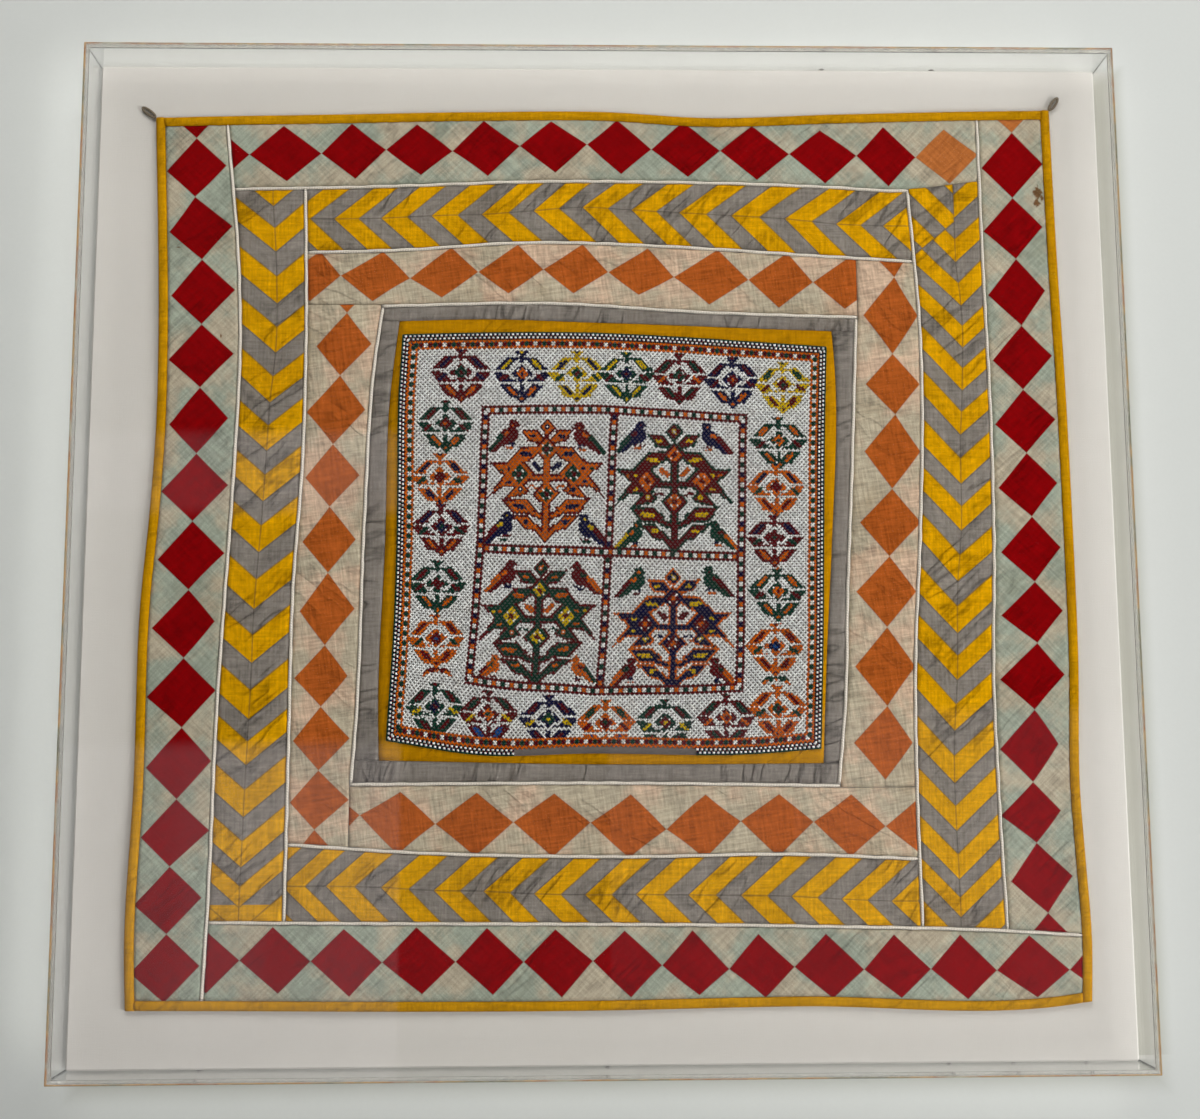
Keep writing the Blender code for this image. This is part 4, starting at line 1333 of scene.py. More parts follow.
@dataclass
class BeadPanel:
    """The netted beadwork: a dark net with a bead on each of its threads."""

    patch: Patch = Patch(BEADS_LEFT, BEADS_RIGHT, BEADS_BOTTOM, BEADS_TOP)
    edging: float = 6.0
    columns: int = 93
    rows: int = 81
    bead_wide: float = 1.56
    bead_long: float = 1.3
    bead_high: float = 1.1
    net: float = 0.85
    sunk: float = 0.1
    seed: int = 7
    per_piece: int = 11000
    # Along the bottom the edging is missing this far either side of the middle
    bare: float = 74.0
    # The net's stretch: a column or row, and the share of the way at which it lies, at three places along it
    places: tuple = (0.17, 0.48, 0.8)
    column_lines: tuple = (
        (0, 0, 0, 0), (17, 0.170, 0.184, 0.194), (46, 0.483, 0.494, 0.505), (76, 0.817, 0.816, 0.818), (93, 1, 1, 1)
    )
    row_lines: tuple = (
        (0, 0, 0, 0), (12, 0.162, 0.131, 0.144), (38, 0.4815, 0.470, 0.468), (66, 0.822, 0.8235, 0.8185), (81, 1, 1, 1)
    )
    # The edging's rows: how far in, the two colours by turns, and the beads' pitch
    edging_rows: tuple = (
        (0.5, Bead.GREEN, Bead.GREEN, 1.5), (1.9, Bead.WHITE, Bead.NAVY, 1.85), (3.2, Bead.MAROON, Bead.GREEN, 1.5),
        (4.6, Bead.WHITE, Bead.NAVY, 1.85), (5.8, Bead.GREEN, Bead.MAROON, 1.5),
    )

    def inner(self, by: float) -> Patch:
        """The panel without a margin this wide."""
        p = self.patch
        return Patch(p.left.moved(by), p.right.moved(-by), p.bottom.moved(by), p.top.moved(-by))

    def stretched(self, line: Array, other: Array, table: tuple) -> Array:
        """The share at which each line of the net lies, read between the rows of its table."""
        rows = np.array(table, float)
        knots = np.stack([np.interp(other, self.places, row[1:]) for row in rows], axis=1)
        k = np.clip(np.searchsorted(rows[:, 0], line, side="right") - 1, 0, len(rows) - 2)
        each = np.arange(len(line))
        t = (line - rows[k, 0]) / (rows[k + 1, 0] - rows[k, 0])
        return knots[each, k] * (1 - t) + knots[each, k + 1] * t

    def net_beads(self) -> BeadRun:
        """The beads of the net.

        Its holes lie at each cell's corner and centre, and a bead lies halfway between two neighbouring
        holes, strung across the line that joins them.

        Returns:
            Their places, with the pattern's colours.
        """
        i, j = np.meshgrid(np.arange(self.columns), np.arange(self.rows), indexing="ij")
        slots = np.array(
            [(0.25, 0.25, 1), (0.75, 0.25, -1), (0.25, 0.75, -1), (0.75, 0.75, 1), (0.5, 0.0, 0), (0.0, 0.5, 0)]
        )
        column, row = (i[..., None] + slots[:, 0]).ravel(), (j[..., None] + slots[:, 1]).ravel()
        kind = np.broadcast_to(slots[:, 2], i.shape + (6,)).ravel()
        u = self.stretched(column, row / self.rows, self.column_lines)
        v = self.stretched(row, column / self.columns, self.row_lines)
        x, z = self.inner(self.edging).at(u, v)
        x = x + 0.16 * np.sin(x / 9 + 2 * np.sin(z / 17))
        z = z + 0.16 * np.sin(z / 8 + 2 * np.sin(x / 21))
        lean = np.where(kind == 0, math.pi / 2, np.where(kind > 0, math.radians(139), math.radians(41)))
        colour = Pattern().colours(x, z, column, row, self.columns, self.rows)
        return BeadRun(x, z, lean, colour, np.ones(len(x)))

    def edging_beads(self) -> BeadRun:
        """Five rows of beads round the net: dark outside, two rows of white dots with dark between."""
        runs = []
        for inset, one, other, pitch in self.edging_rows:
            patch = self.inner(inset)
            wide, high = patch.size
            for horizontal, share in ((True, 0.0), (True, 1.0), (False, 0.0), (False, 1.0)):
                count = round((wide if horizontal else high) / pitch)
                t = (np.arange(count) + 0.5) / count
                fixed = np.full(count, share)
                x, z = patch.at(t, fixed) if horizontal else patch.at(fixed, t)
                keep = ~((np.abs(x) < self.bare) & horizontal & (share == 0.0))
                colour = np.where(np.arange(count) % 2 == 0, int(one), int(other))
                lean = np.full(count, 0.0 if horizontal else math.pi / 2)
                size = np.where(colour == Bead.WHITE, 1.34, 0.92)
                runs.append(BeadRun(x, z, lean, colour, size).some(keep))
        return BeadRun.joined(runs)

    def bead_mesh(self, name: str, run: BeadRun, rng: np.random.Generator) -> bpy.types.Object:
        """One piece that holds many beads, each a half barrel on the net.

        A bead's two end rings are at -long / 2 and long / 2 along its string, and each has four points
        at (wide / 2 * cos(a), high * sin(a)) for a from 0 to 180 degrees.

        Args:
            name: The piece's name.
            run: The beads.
            rng: Gives each its own size and shade.

        Returns:
            The object.
        """
        count = len(run.x)
        angle = np.radians([0, 60, 120, 180])
        scale = (0.94 + 0.14 * rng.random(count)) * run.size
        long_way = np.repeat([-0.5, 0.5], 4)[None] * (self.bead_long * scale)[:, None]
        across = np.tile(np.cos(angle) / 2, 2)[None] * (self.bead_wide * scale)[:, None]
        up = np.tile(np.sin(angle), 2)[None] * (self.bead_high * scale)[:, None]
        lean = run.lean + rng.normal(0, 0.12, count)
        c, s = np.cos(lean)[:, None], np.sin(lean)[:, None]
        x = run.x[:, None] + long_way * c - across * s
        z = run.z[:, None] + long_way * s + across * c
        base = BOARD + GAP + CLOTH + GAP + self.net - self.sunk + lift(run.x, run.z)
        points = np.stack([x, -(base[:, None] + up), z], axis=-1).reshape(-1, 3)
        sides = np.array([[k, k + 1, k + 5, k + 4] for k in range(3)] + [[3, 0, 4, 7]])
        caps = np.array([[3, 2, 1, 0], [4, 5, 6, 7]])
        shift = np.arange(count)[:, None] * 8
        loops = np.concatenate([(sides.ravel()[None] + shift), (caps.ravel()[None] + shift)], axis=1).ravel()
        sizes = np.full(6 * count, 4)
        marks = {"tone": np.repeat(rng.random(count), 8)}
        return add_mesh(name, points, loops, sizes, marks)

    def build(self) -> None:
        rng = np.random.default_rng(self.seed)
        run = BeadRun.joined([self.net_beads(), self.edging_beads()])
        run = run.some(rng.permutation(len(run.x)))
        for colour, glass in BEAD_GLASS.items():
            chosen = np.flatnonzero(run.colour == colour)
            parts = max(1, math.ceil(len(chosen) / self.per_piece))
            for number, some in enumerate(np.array_split(chosen, parts), start=1):
                if len(some) == 0:
                    continue
                name = f"beads_{colour.name.lower()}_{number}"
                piece = self.bead_mesh(name, run.some(some), rng)
                dress(piece, GlassBead("beadwork", glass))
            LOG.info("%s beads: %d in %d pieces", colour.name.lower(), len(chosen), parts)
        u, v, x, z = self.patch.grid(6.0)
        rest = BOARD + GAP + CLOTH + GAP + lift(x, z)
        front = np.stack([x, -(rest + self.net), z], axis=-1)
        net = shell("bead_net", front, np.stack([x, -rest, z], axis=-1), {})
        dress(net, Netting("beadwork"))
        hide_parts("bead_panel")
        wide, high = self.patch.size


@dataclass(frozen=True)
class Corners:
    """A convex shape between corners in millimetres."""

    points: tuple[tuple[float, float], ...]

    def off(self, x: Array, z: Array) -> Array:
        """How far outside the shape a point lies, below 0 inside: the largest distance past any side."""
        at = np.array(self.points, float)
        ahead = np.roll(at, -1, axis=0) - at
        area = (at[:, 0] * np.roll(at, -1, axis=0)[:, 1] - at[:, 1] * np.roll(at, -1, axis=0)[:, 0]).sum()
        outward = np.stack([ahead[:, 1], -ahead[:, 0]], axis=1) * (1 if area > 0 else -1)
        outward /= np.linalg.norm(outward, axis=1, keepdims=True)
        past = (x[:, None] - at[:, 0]) * outward[:, 0] + (z[:, None] - at[:, 1]) * outward[:, 1]
        return past.max(axis=1)


@dataclass(frozen=True)
class Oval:
    """An oval: its centre, its half length and half width, and its lean from +X in degrees."""

    x: float
    z: float
    long: float
    wide: float
    lean: float = 0.0

    def off(self, x: Array, z: Array) -> Array:
        """((run / long)^2 + (side / wide)^2)^0.5 - 1, in half widths."""
        c, s = math.cos(math.radians(self.lean)), math.sin(math.radians(self.lean))
        run, side = (x - self.x) * c + (z - self.z) * s, (z - self.z) * c - (x - self.x) * s
        return (np.hypot(run / self.long, side / self.wide) - 1) * min(self.wide, self.long)


@dataclass(frozen=True)
class Lozenge:
    """An upright diamond: its centre and how far its tips reach across and up."""

    x: float
    z: float
    wide: float
    high: float

    def off(self, x: Array, z: Array) -> Array:
        """(|across| / wide + |up| / high - 1) * the distance from centre to side."""
        reach = np.abs(x - self.x) / self.wide + np.abs(z - self.z) / self.high - 1
        return reach * self.wide * self.high / math.hypot(self.wide, self.high)


Shape = Corners | Oval | Lozenge


@dataclass
class Brush:
    """Paints shapes on the beads near one motif, in the motif's own millimetres."""

    colour: Array
    index: Array
    x: Array
    z: Array

    def fill(self, colour: Bead, *shapes: Shape, grow: float = 0.0) -> None:
        """Gives a colour to the beads inside any of the shapes, or within grow of them."""
        for shape in shapes:
            self.colour[self.index[shape.off(self.x, self.z) <= grow]] = colour


@dataclass(frozen=True)
class Motif:
    """A figure drawn round its own origin: where it stands, and how much larger it is than its drawing."""

    x: float
    z: float
    wide: float = 1.0
    high: float = 1.0
    reach: float = 60.0
    folded: bool = True
    turn: float = 1.0
    slope: float = 0.0

    def brush(self, colour: Array, x: Array, z: Array) -> Brush:
        """A brush for the beads near the motif; a folded one is the same on both sides of its middle."""
        up = (z - self.z) / self.high
        across = (x - self.x - self.slope * (z - self.z)) / self.wide * self.turn
        near = np.flatnonzero((np.abs(across) < self.reach) & (np.abs(up) < 2 * self.reach))
        across = np.abs(across[near]) if self.folded else across[near]
        return Brush(colour, near, across, up[near])


@dataclass(frozen=True)
class Rosette:
    """A round flower: four pairs of petals about a diamond, a crown above and a point below."""

    x: float
    z: float
    main: Bead
    upper: Bead
    middle: Bead
    lower: Bead
    heart: Bead
    dot: Bead
    wide: float = 0.94
    high: float = 0.96

    # The corners of each petal, the cross bar, the stem, its point and the crown
    PETALS = (
        ((-1, 13.2), (3.3, 15), (12.6, 14.8), (13.5, 12), (5.0, 12.6)),
        ((3.2, 14.8), (12.6, 14.8), (24.4, 3.2), (13.6, 3.2)),
        ((26, 1.4), (17, 1.5), (9.4, -4), (12, -6.6), (19.5, -6.6)),
        ((-1, -5.2), (20, -5.2), (19.4, -7), (-1, -7)),
        ((19.4, -9.4), (9, -9.4), (1.2, -17.4), (3.4, -21.4), (11, -20.2)),
        ((-1, 20), (1.8, 20), (1.8, -23), (-1, -23)),
        ((-1, -19.5), (5.6, -19.8), (0, -26)),
        ((-1, 20.5), (5.8, 20.5), (1.2, 16), (-1, 16)),
    )
    # What fills them: the bead's part, and the shapes it has
    white = Bead.WHITE
    FILLS = (
        ("white", Lozenge(0, 0.6, 11.8, 10.6)),
        ("main", Lozenge(0, 0.4, 9.8, 8.4)),
        ("dot", Lozenge(0, 0.4, 5.6, 5.4)),
        ("white", Oval(3.6, 3.9, 1.1, 1.1), Oval(3.6, -3.1, 1.1, 1.1)),
        ("heart", Oval(0, 0.4, 1.9, 1.9)),
        ("upper", Oval(13.4, 8.8, 6.4, 1.9, -46)),
        ("middle", Oval(15.8, -2.9, 5.0, 1.7, -38)),
        ("lower", Oval(8.6, -14.8, 5.8, 1.8, 47), Oval(0, -21.6, 1.5, 1.5)),
        ("upper", Oval(0, 19.6, 1.4, 1.2)),
    )

    def paint(self, colour: Array, x: Array, z: Array) -> None:
        """Draws the petals, their fillings and the heart."""
        brush = Motif(self.x, self.z, self.wide, self.high, reach=28).brush(colour, x, z)
        brush.fill(self.main, *map(Corners, self.PETALS))
        for bead, *shapes in self.FILLS:
            brush.fill(getattr(self, bead), *shapes)


@dataclass(frozen=True)
class Tree:
    """A flowering tree: a stem on a point, leaves, four flower diamonds and a bud."""

    x: float
    z: float
    main: Bead
    outline: Bead
    flower: Bead
    heart: Bead
    fill: Bead
    pane: Bead
    wide: float = 1.0
    high: float = 1.0
    slope: float = 0.0

    # Centre and reach of the bud and the flowers, and the corners of the leaves and the stem
    BUD = (0, 95.4, 5.4, 6.6)
    FLOWERS = ((0, 76.5, 8.6, 9.8), (22.4, 55.2, 10.8, 12.4), (0, 38.2, 9.8, 10))
    LEAVES = (
        ((-1, 93), (1.8, 93), (3, 84), (7, 83.4), (0, 76), (-1, 76)),
        ((3.4, 84.6), (9, 91.8), (19.6, 92.2), (15.2, 84.6), (6, 82.6)),
        ((6.6, 78.2), (8.4, 72.6), (15, 67.8), (21, 77.4)),
        ((15, 67.8), (21, 77.4), (32.6, 63.6), (28, 60.4)),
        ((23, 64), (44.6, 63.6), (33.6, 53.6), (24, 50)),
        ((20, 45.6), (24, 58), (34, 56), (37.4, 45.6)),
        ((33.6, 55), (44.2, 39.8), (36.4, 45.8)),
        ((-1, 54), (14, 54), (14, 50.6), (-1, 50.6)),
        ((-1, 76), (2.1, 76), (2.1, 2), (-1, 2)),
        ((17.4, 42.8), (22.4, 47.6), (33.4, 35.2), (19.6, 38.2), (15.4, 41)),
        ((17, 32.8), (34.6, 32.8), (26.6, 22.8), (15, 22.6), (9.4, 25.6)),
        ((9.4, 25.6), (15, 22.6), (6.4, 18.6), (1, 17.2), (1, 19.4), (4, 20.8)),
        ((16.2, 18.8), (26.2, 19), (16.6, 9.6), (5.4, 6.8), (4.6, 8.2)),
        ((-1, -1.6), (0, -1.6), (9.4, 8.0), (5.4, 8.6), (-1, 4.4)),
    )

    def paint(self, colour: Array, x: Array, z: Array) -> None:
        """Draws the outline, the leaves and diamonds, and what fills them."""
        brush = Motif(self.x, self.z, self.wide, self.high, 60, slope=self.slope).brush(colour, x, z)
        body = (Lozenge(*self.BUD), *map(Corners, self.LEAVES), *(Lozenge(*flower) for flower in self.FLOWERS))
        brush.fill(self.outline, *body, grow=1.35)
        brush.fill(self.main, *body, grow=-0.1)
        for across, up, wide, high in self.FLOWERS:
            brush.fill(self.flower, Lozenge(across, up, wide * 0.66, high * 0.66))
            dots = (Oval(across + side * 2.7, up + top * 3.2, 0.95, 0.95) for side in (-1, 1) for top in (-1, 1))
            brush.fill(Bead.WHITE, *dots)
            brush.fill(self.heart, Oval(across, up, 2.1, 2.3))
        brush.fill(self.fill, Oval(12.4, 87.8, 2.9, 1.6), Oval(17.4, 72.4, 5.6, 1.9, 8), Oval(31, 59.6, 2.0, 1.4))
        brush.fill(self.fill, Oval(31.4, 48.6, 2.2, 1.4), Oval(22.2, 27.8, 6.0, 2.0, 8), Oval(16.4, 14.6, 3.2, 1.8, 0))
        brush.fill(self.flower, Oval(37.6, 59.4, 1.8, 1.3))
        brush.fill(self.fill, Oval(0, 95.4, 2.3, 2.3), Oval(21.6, 41.8, 2.3, 2.1))
        brush.fill(Bead.WHITE, Oval(0, 95.4, 0.9, 0.9), Oval(21.6, 41.8, 0.9, 0.9))
        brush.fill(self.pane, Oval(8.4, 62.4, 4.9, 2.2, 40), Oval(6.0, 60.0, 2.0, 2.4, 90))
        brush.fill(self.main, Oval(10.4, 44.4, 3.6, 0.9, 28), Oval(14.4, 44.6, 2.4, 0.9, -35))


@dataclass(frozen=True)
class Bird:
    """A plump bird on a branch, its head up and its tail down behind it."""

    x: float
    z: float
    turn: int
    body: Bead
    stripe: Bead
    wing: Bead
    foot: Bead
    scale: float = 0.94

    def paint(self, colour: Array, x: Array, z: Array) -> None:
        """Draws the body, the tail with its stripe, the wing, the eye and the feet."""
        brush = Motif(self.x, self.z, self.scale, self.scale, 24, False, self.turn).brush(colour, x, z)
        brush.fill(
            self.body,
            Oval(3.2, 9.6, 4.3, 4.1),
            Corners(((6.4, 10.6), (9.6, 8.2), (6.4, 7.6))),
            Oval(0.0, 0.0, 8.6, 7.0, 38),
            Corners(((-7, 2.4), (-1.6, -6.8), (-13.4, -15.4), (-20.4, -14.6))),
        )
        brush.fill(self.stripe, Corners(((-7.6, 2.2), (-4.6, -1.6), (-17, -15.2), (-21, -14.8))))
        brush.fill(self.wing, Oval(-2.6, 1.6, 3.4, 1.8, 30))
        brush.fill(self.wing, Oval(2.6, 8.9, 1.3, 1.3))
        brush.fill(Bead.NAVY if self.body != Bead.NAVY else Bead.MAROON, Oval(2.4, -8.4, 4.0, 1.3))
        brush.fill(Bead.WHITE, Oval(1.2, -8.6, 0.8, 0.8), Oval(4.4, -8.6, 0.8, 0.8))
        brush.fill(self.foot, Oval(0.4, -11.2, 4.0, 1.2))


class Pattern:
    """The panel's pattern: each bead takes the colour of the shape it lies in."""

    M, O, G, N, Y, B, W = Bead.MAROON, Bead.ORANGE, Bead.GREEN, Bead.NAVY, Bead.YELLOW, Bead.BLUE, Bead.WHITE
    CELL_COLOURS = (W, M, G, G, O, N)
    # A mesh of the net in millimetres, half a checked cell, and how far the lines beside it reach
    WIDE, HIGH, CELL_HALF, LINE = 3.66, 4.15, 1.6, 3.3

    # x, z, main, upper, middle, lower, heart, dot
    ROSETTES = tuple(Rosette(*row) for row in (
        (-119, 147, M, N, N, O, M, G, 1.0, 1.0), (-68, 146, N, Y, M, O, N, O), (-21.6, 146, Y, N, G, N, M, G),
        (20, 145.6, G, Y, M, Y, M, N), (64.4, 144, M, G, O, G, M, G), (108.7, 141, N, M, M, O, O, M),
        (151.3, 137, Y, G, M, M, G, M), (-131.6, 103.6, G, M, M, O, O, M), (-136, 58.4, O, N, G, N, M, M),
        (-134.4, 16.4, M, N, G, O, G, N), (-137.3, -31.3, G, M, M, O, M, M), (-138, -76, O, M, G, M, B, M),
        (-138.4, -132, G, M, Y, M, M, N), (-95, -138, M, G, Y, B, G, O), (-46, -142, N, M, Y, M, Y, G),
        (0.7, -145.6, O, G, M, B, G, M), (49.3, -145.6, G, M, Y, M, Y, M), (99.3, -142, M, G, O, G, M, O),
        (142, -135, O, M, G, M, M, G), (147, 89.3, G, O, M, O, G, O), (144, 49.3, O, N, G, M, M, M),
        (141.6, 6.4, M, N, G, O, G, M), (143.6, -38, G, O, M, O, M, O), (140.7, -83.6, O, M, G, M, B, N),
    ))
    # x, z, main, outline, flower, heart, fill, pane
    TREES = tuple(Tree(*row) for row in (
        (-48.5, 6.5, O, M, G, M, N, N, 1.0, 0.985, 0.02), (58.5, -2.5, M, G, O, M, Y, O, 1.02, 1.04, 0.01),
        (-57.5, -113, G, M, Y, M, O, O, 1.0, 1.0, 0.06), (55.5, -117, N, O, M, O, Y, M, 1.03, 0.955, 0.02),
    ))
    # x, z, turn, body, stripe, wing, foot
    BIRDS = tuple(Bird(*row) for row in (
        (-78, 94, 1, M, G, O, O), (-17, 92, -1, M, G, O, O), (-83, 17, 1, N, M, Y, G), (-13.5, 14.5, -1, N, M, Y, G),
        (28.5, 93, 1, N, G, M, O), (89.5, 91.5, -1, N, M, O, O), (25, 10, 1, G, Y, O, O, 0.85),
        (95, 10, -1, G, O, M, O, 0.85), (-80, -23.5, 1, M, O, O, N), (-19.5, -25.5, -1, M, O, G, N),
        (-92, -99, 1, O, M, G, M, 0.72), (-21, -101, -1, O, G, M, M, 0.78), (26.5, -29.5, 1, G, M, O, M, 0.88),
        (89.5, -29, -1, G, M, M, O, 0.9), (19.5, -103, 1, M, O, G, O, 0.82), (93, -103, -1, M, O, G, N, 0.8),
    ))

    def colours(self, x: Array, z: Array, column: Array, row: Array, columns: int, rows: int) -> Array:
        """The colour of each bead.

        Args:
            x: The beads' x.
            z: Their z.
            column: Their place in the net, counted in holes across.
            row: Their place in the net, counted in holes up.
            columns: How many holes the net has across.
            rows: How many it has up.

        Returns:
            Bead numbers.
        """
        colour = np.full(x.shape, int(Bead.WHITE))
        for motif in (*self.ROSETTES, *self.TREES, *self.BIRDS):
            motif.paint(colour, x, z)
        crowns = (
            (Motif(-137, -104, 0.9, 0.9, 28), self.M, self.O),
            (Motif(141, -112, 0.9, 0.9, 28), self.G, self.O),
        )
        for motif, main, fill in crowns:
            brush = motif.brush(colour, x, z)
            brush.fill(main, Corners(((-1, 4), (8, 4.5), (17, -2), (12, -6), (4, 0), (-1, 0))))
            brush.fill(fill, Oval(10, -0.6, 4, 1.4, -30), Oval(0, 2, 2.4, 1.2))
        self.band(colour, column, row, (1, columns - 1, 1, rows - 1), self.O, 9.0, ((1, 2, 1, 0), (0, 2, 0, 3)))
        self.band(colour, column, row, (17, 76, 12, 66), self.M, self.LINE, ((3, 0, 4, 0), (0, 3, 0, 4, 5)))
        self.divider(colour, column, row, 46, (12.9, 65.1), upright=True)
        self.divider(colour, column, row, 38, (17.9, 75.1), upright=False)
        return colour

    def cells(self, run: Array, order: tuple[int, ...]) -> Array:
        """The colour of each cell of a checked row, by its number along it."""
        table = np.array([int(c) for c in self.CELL_COLOURS])
        return table[np.array(order)[np.floor(run).astype(int) % len(order)]]

    def band(
        self,
        colour: Array,
        column: Array,
        row: Array,
        box: tuple[float, float, float, float],
        line: Bead,
        outside: float,
        orders: tuple[tuple[int, ...], tuple[int, ...]],
    ) -> None:
        """A checked row round a box of the net, between two lines.

        Args:
            colour: The beads' colours, which it changes.
            column: The beads' places across.
            row: The beads' places up.
            box: The columns and rows that the checked row is centred on: left, right, bottom, top.
            line: The colour of the lines.
            outside: How far the outer line reaches, in millimetres.
            orders: The order of the cells along the level runs and along the upright ones.
        """
        left, right, bottom, top = box
        across = (np.abs(column - (left + right) / 2) - (right - left) / 2) * self.WIDE
        up = (np.abs(row - (bottom + top) / 2) - (top - bottom) / 2) * self.HIGH
        off = np.maximum(across, up)
        checked = np.where(up > across, self.cells(column, orders[0]), self.cells(row, orders[1]))
        colour[(off > -self.LINE) & (off < outside)] = line
        middle = np.abs(off) < self.CELL_HALF
        colour[middle] = checked[middle]

    def divider(
        self, colour: Array, column: Array, row: Array, at: float, ends: tuple[float, float], upright: bool
    ) -> None:
        """A checked row with a line either side, which divides the inner box along a column or a row."""
        off = np.abs((column - at) * self.WIDE if upright else (row - at) * self.HIGH)
        run = row if upright else column
        here = (run > ends[0]) & (run < ends[1])
        order = (0, 3, 0, 4, 5) if upright else (3, 0, 4, 0)
        colour[here & (off < self.LINE) & (off >= self.CELL_HALF) & (colour != Bead.GREEN)] = Bead.MAROON
        middle = here & (off < self.CELL_HALF)
        colour[middle] = self.cells(run, order)[middle]


# ---------------------------------------------------------------- the box


@dataclass
class Box:
    """The acrylic box, its board and its screws, which keep their CAD shapes."""

    half_wide: float = 433.0
    half_high: float = 422.0
    # How far in from the sides the front sheet's painted edge glow and its painted pale rim begin, across and up
    edge: tuple[float, float] = (1.3, 1.0)
    rim: tuple[float, float] = (4.6, 4.0)

    def build(self) -> None:
        """Dresses the CAD nodes."""
        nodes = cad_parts
        starts = (half - inset for insets in (self.edge, self.rim)
                  for half, inset in zip((self.half_wide, self.half_high), insets))
        dress(nodes["front_panel"], Acrylic("clear_acrylic", *starts))
        wall = Acrylic("clear_acrylic")
        for side in ("top", "bottom", "left", "right"):
            dress(nodes[f"{side}_wall"], wall)
        dress(nodes["mount_board"], Linen("linen_board", srgb(211, 208, 202)))
        steel = Steel("screw_steel").material("screw_finish")
        for name, node in nodes.items():
            if name.startswith("wall_screw"):
                dress(node, Steel("screw_steel"), steel)
        LOG.info("box: %d CAD nodes dressed", len(nodes))


# ---------------------------------------------------------------- the room


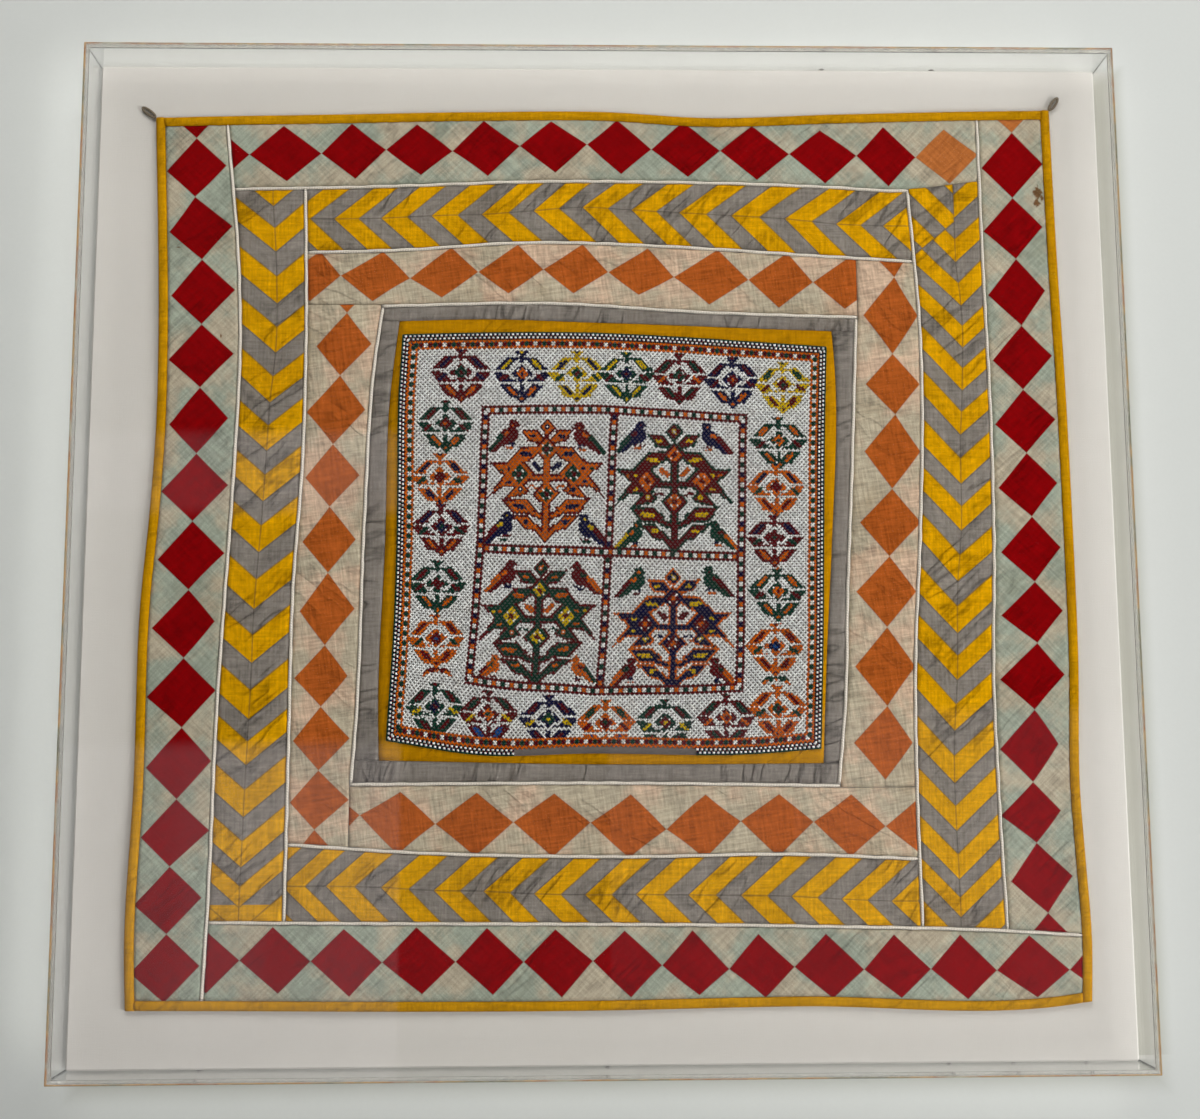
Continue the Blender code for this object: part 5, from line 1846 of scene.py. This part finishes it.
@dataclass
class Room:
    """The wall behind, soft daylight from the upper left, and the camera."""

    wall: Colour = srgb(228, 231, 227)
    reach: float = 3.0
    behind: float = 0.0006
    hole_wide: float = 0.836
    hole_high: float = 0.812
    camera: tuple[float, float, float] = (-0.0344, -1.3190, -0.1791)
    lens: float = 47.61
    pitch: float = 7.367
    yaw: float = 1.372
    roll: float = -0.292
    # name, place in metres, width, power and colour
    lamps: tuple = (
        ("window_right", (2.4, -1.6, -1.0), 1.6, 60, (1.0, 1.0, 1.0)),
        ("window_above", (0.0, -1.6, 2.0), 1.6, 38, (1.0, 0.99, 0.97)),
        ("daylight", (-1.6, -1.6, 2.0), 0.6, 5, (1.0, 0.99, 0.97)),
        ("back_light", (-1.2, 2.6, 1.6), 2.0, 60, (1.0, 1.0, 1.0)),
    )
    # The room's air: its colour, and how bright it is as light and as seen by the camera
    air: Colour = (0.80, 0.83, 0.84)
    air_light: float = 0.015
    air_seen: float = 0.7
    # What the front sheet mirrors: left, right, bottom, top and strength
    panes: tuple = (
        (-430, -160, -430, -155, 1.0), (-165, 5, -430, -190, 0.14), (0, 150, -430, -130, 0.36),
        (145, 430, -430, -130, 0.5), (-430, -165, 18, 96, 0.75),
    )

    def card(self, name: str, points: list, faces: list, shader: Shader) -> bpy.types.Object:
        """A flat stage piece with its own material."""
        mesh = bpy.data.meshes.new(name)
        mesh.from_pydata(points, [], faces)
        mesh.materials.append(shader.material)
        obj = bpy.data.objects.new(name, mesh)
        bpy.context.scene.collection.objects.link(obj)
        return obj

    def backdrop(self) -> None:
        """A wall that is open behind the board, and clear from behind so that the back can be looked at, with the
        box's shadow painted on it to the right and below.
        """
        rings = ((self.reach, self.reach), (self.hole_wide / 2, self.hole_high / 2))
        sides = ((-1, -1), (1, -1), (1, 1), (-1, 1))
        points = [(x * wide, self.behind, z * high) for wide, high in rings for x, z in sides]
        faces = [(k, (k + 1) % 4, 4 + (k + 1) % 4, 4 + k) for k in range(4)]
        shader = Shader("wall_paint")
        grain = shader.noise(3, detail=5.0)
        x, _, z = shader.axes()
        # Painted shadow of the box, darkest just right of it and weaker below it.
        off = ((x - 13).size() - 433).most((z + 9).size() - 423)
        below = (-415 - z).above(0.0)
        shadow = (1 - off.ease(-6, 18)) * (1 - below * 0.5)
        paint = shader.shade(self.wall, 0.985 + grain * 0.03)
        shader.dress(Base_Color=shader.blend(shadow, paint, (0.56, 0.55, 0.47), "MULTIPLY"), Roughness=0.95)
        shader.relief(grain, 0.15, 0.3)
        clear = shader.node("ShaderNodeBsdfTransparent", {}, {})
        behind = shader.node("ShaderNodeNewGeometry", {}, {}, "Backfacing")
        shader.finish(shader.mixed(behind, shader.face, clear))
        self.card("backdrop", points, faces, shader)

    def lamp(self, name: str, place: Colour, size: float, power: float, colour: Colour) -> None:
        """A square soft lamp that faces the middle of the cloth.

        Args:
            name: Its name.
            place: Where it hangs, in metres.
            size: Its width.
            power: Its power in watts.
            colour: Its colour.
        """
        light = bpy.data.lights.new(name, "AREA")
        light.shape = "RECTANGLE"
        light.size = light.size_y = size
        light.energy = power
        light.color = colour
        obj = bpy.data.objects.new(name, light)
        bpy.context.scene.collection.objects.link(obj)
        obj.location = place
        x, y, z = place
        obj.rotation_euler = (math.pi / 2 + math.atan2(-z, math.hypot(x, y)), 0.0, -math.atan2(-x, -y))
        obj.visible_transmission = False

    def lights(self) -> None:
        """Daylight from the upper left, a little from the right, and a soft room light."""
        for lamp in self.lamps:
            self.lamp(*lamp)
        self.glow()
        world = bpy.data.worlds.new("room")
        world.use_nodes = True
        tree = world.node_tree
        air = tree.nodes["Background"]
        air.inputs["Color"].default_value = (*self.air, 1.0)
        path, strength = tree.nodes.new("ShaderNodeLightPath"), tree.nodes.new("ShaderNodeMath")
        strength.operation = "MULTIPLY_ADD"
        tree.links.new(path.outputs["Is Camera Ray"], strength.inputs[0])
        strength.inputs[1].default_value, strength.inputs[2].default_value = self.air_seen, self.air_light
        tree.links.new(strength.outputs[0], air.inputs["Strength"])
        bpy.context.scene.world = world

    def glow(self) -> None:
        """A pale card far behind the camera, which the front sheet mirrors in a few soft-edged panes.

        Seen from the camera, the card's point (x, z) shows on the sheet at ((x + 34) / 2.93 - 34,
        (z + 179) / 2.93 - 179), in millimetres. A pane's light is strength * its soft box.
        """
        corners = [(-1.22, -2.5, -0.94), (-1.22, -2.5, 0.64), (1.36, -2.5, 0.64), (1.36, -2.5, -0.94)]
        shader = Shader("window_glow")
        x, _, z = shader.axes()
        x, z = (x + 34) / 2.93 - 34, (z + 179) / 2.93 - 179
        light = x * 0.0
        for left, right, low, high, strength in self.panes:
            wide = x.ease(left, left + 5) * (1 - x.ease(right - 5, right))
            tall = z.ease(low, low + 14) * (1 - z.ease(high - 14, high))
            light = light.most(wide * tall * strength)
        clouds = shader.noise(260, (1, 1, 2.6), 2.0).ease(0.35, 0.6) * 0.3 + 0.7
        tint = shader.shade((1.0, 0.93, 1.02), light * clouds)
        shader.dress(Base_Color=(0, 0, 0), Specular_IOR_Level=0.0, Emission_Color=tint, Emission_Strength=0.8)
        obj = self.card("window_glow", corners, [(0, 1, 2, 3)], shader)
        obj.visible_camera = obj.visible_diffuse = obj.visible_transmission = obj.visible_shadow = False

    def viewpoint(self) -> None:
        """The camera where the photograph was taken: pitched up, turned a little right and barely rolled."""
        data = bpy.data.cameras.new("camera")
        data.lens, data.sensor_width = self.lens, 36.0
        data.clip_start, data.clip_end = 0.05, 50.0
        obj = bpy.data.objects.new("camera", data)
        bpy.context.scene.collection.objects.link(obj)
        pitch, yaw, roll = (math.radians(a) for a in (self.pitch, self.yaw, self.roll))
        forward = np.array([math.sin(yaw) * math.cos(pitch), math.cos(yaw) * math.cos(pitch), math.sin(pitch)])
        right = np.array([math.cos(yaw), -math.sin(yaw), 0.0])
        up = np.cross(right, forward)
        turned = right * math.cos(roll) + up * math.sin(roll)
        upright = -right * math.sin(roll) + up * math.cos(roll)
        matrix = np.eye(4)
        matrix[:3, 0], matrix[:3, 1], matrix[:3, 2], matrix[:3, 3] = turned, upright, -forward, self.camera
        obj.matrix_world = Matrix(matrix.tolist())
        bpy.context.scene.camera = obj

    def build(self) -> None:
        """Sets the wall, the lights and the camera."""
        self.backdrop()
        self.lights()
        self.viewpoint()
        bpy.context.scene.view_settings.view_transform = "Standard"
        LOG.info("room ready")


def main() -> None:
    """Builds the pieces in order."""
    logging.basicConfig(level=logging.INFO, format="%(message)s")
    Room().build()
    patches = border_patches()
    RedBorder().build(patches, Bindings().build())
    ChevronBorder().build(patches)
    RustBorder().build(patches)
    InnerCloth().build(patches)
    Piping().build()
    CornerLoops().build()
    BeadPanel().build()
    Box().build()
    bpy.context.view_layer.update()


if __name__ == "__main__":
    main()
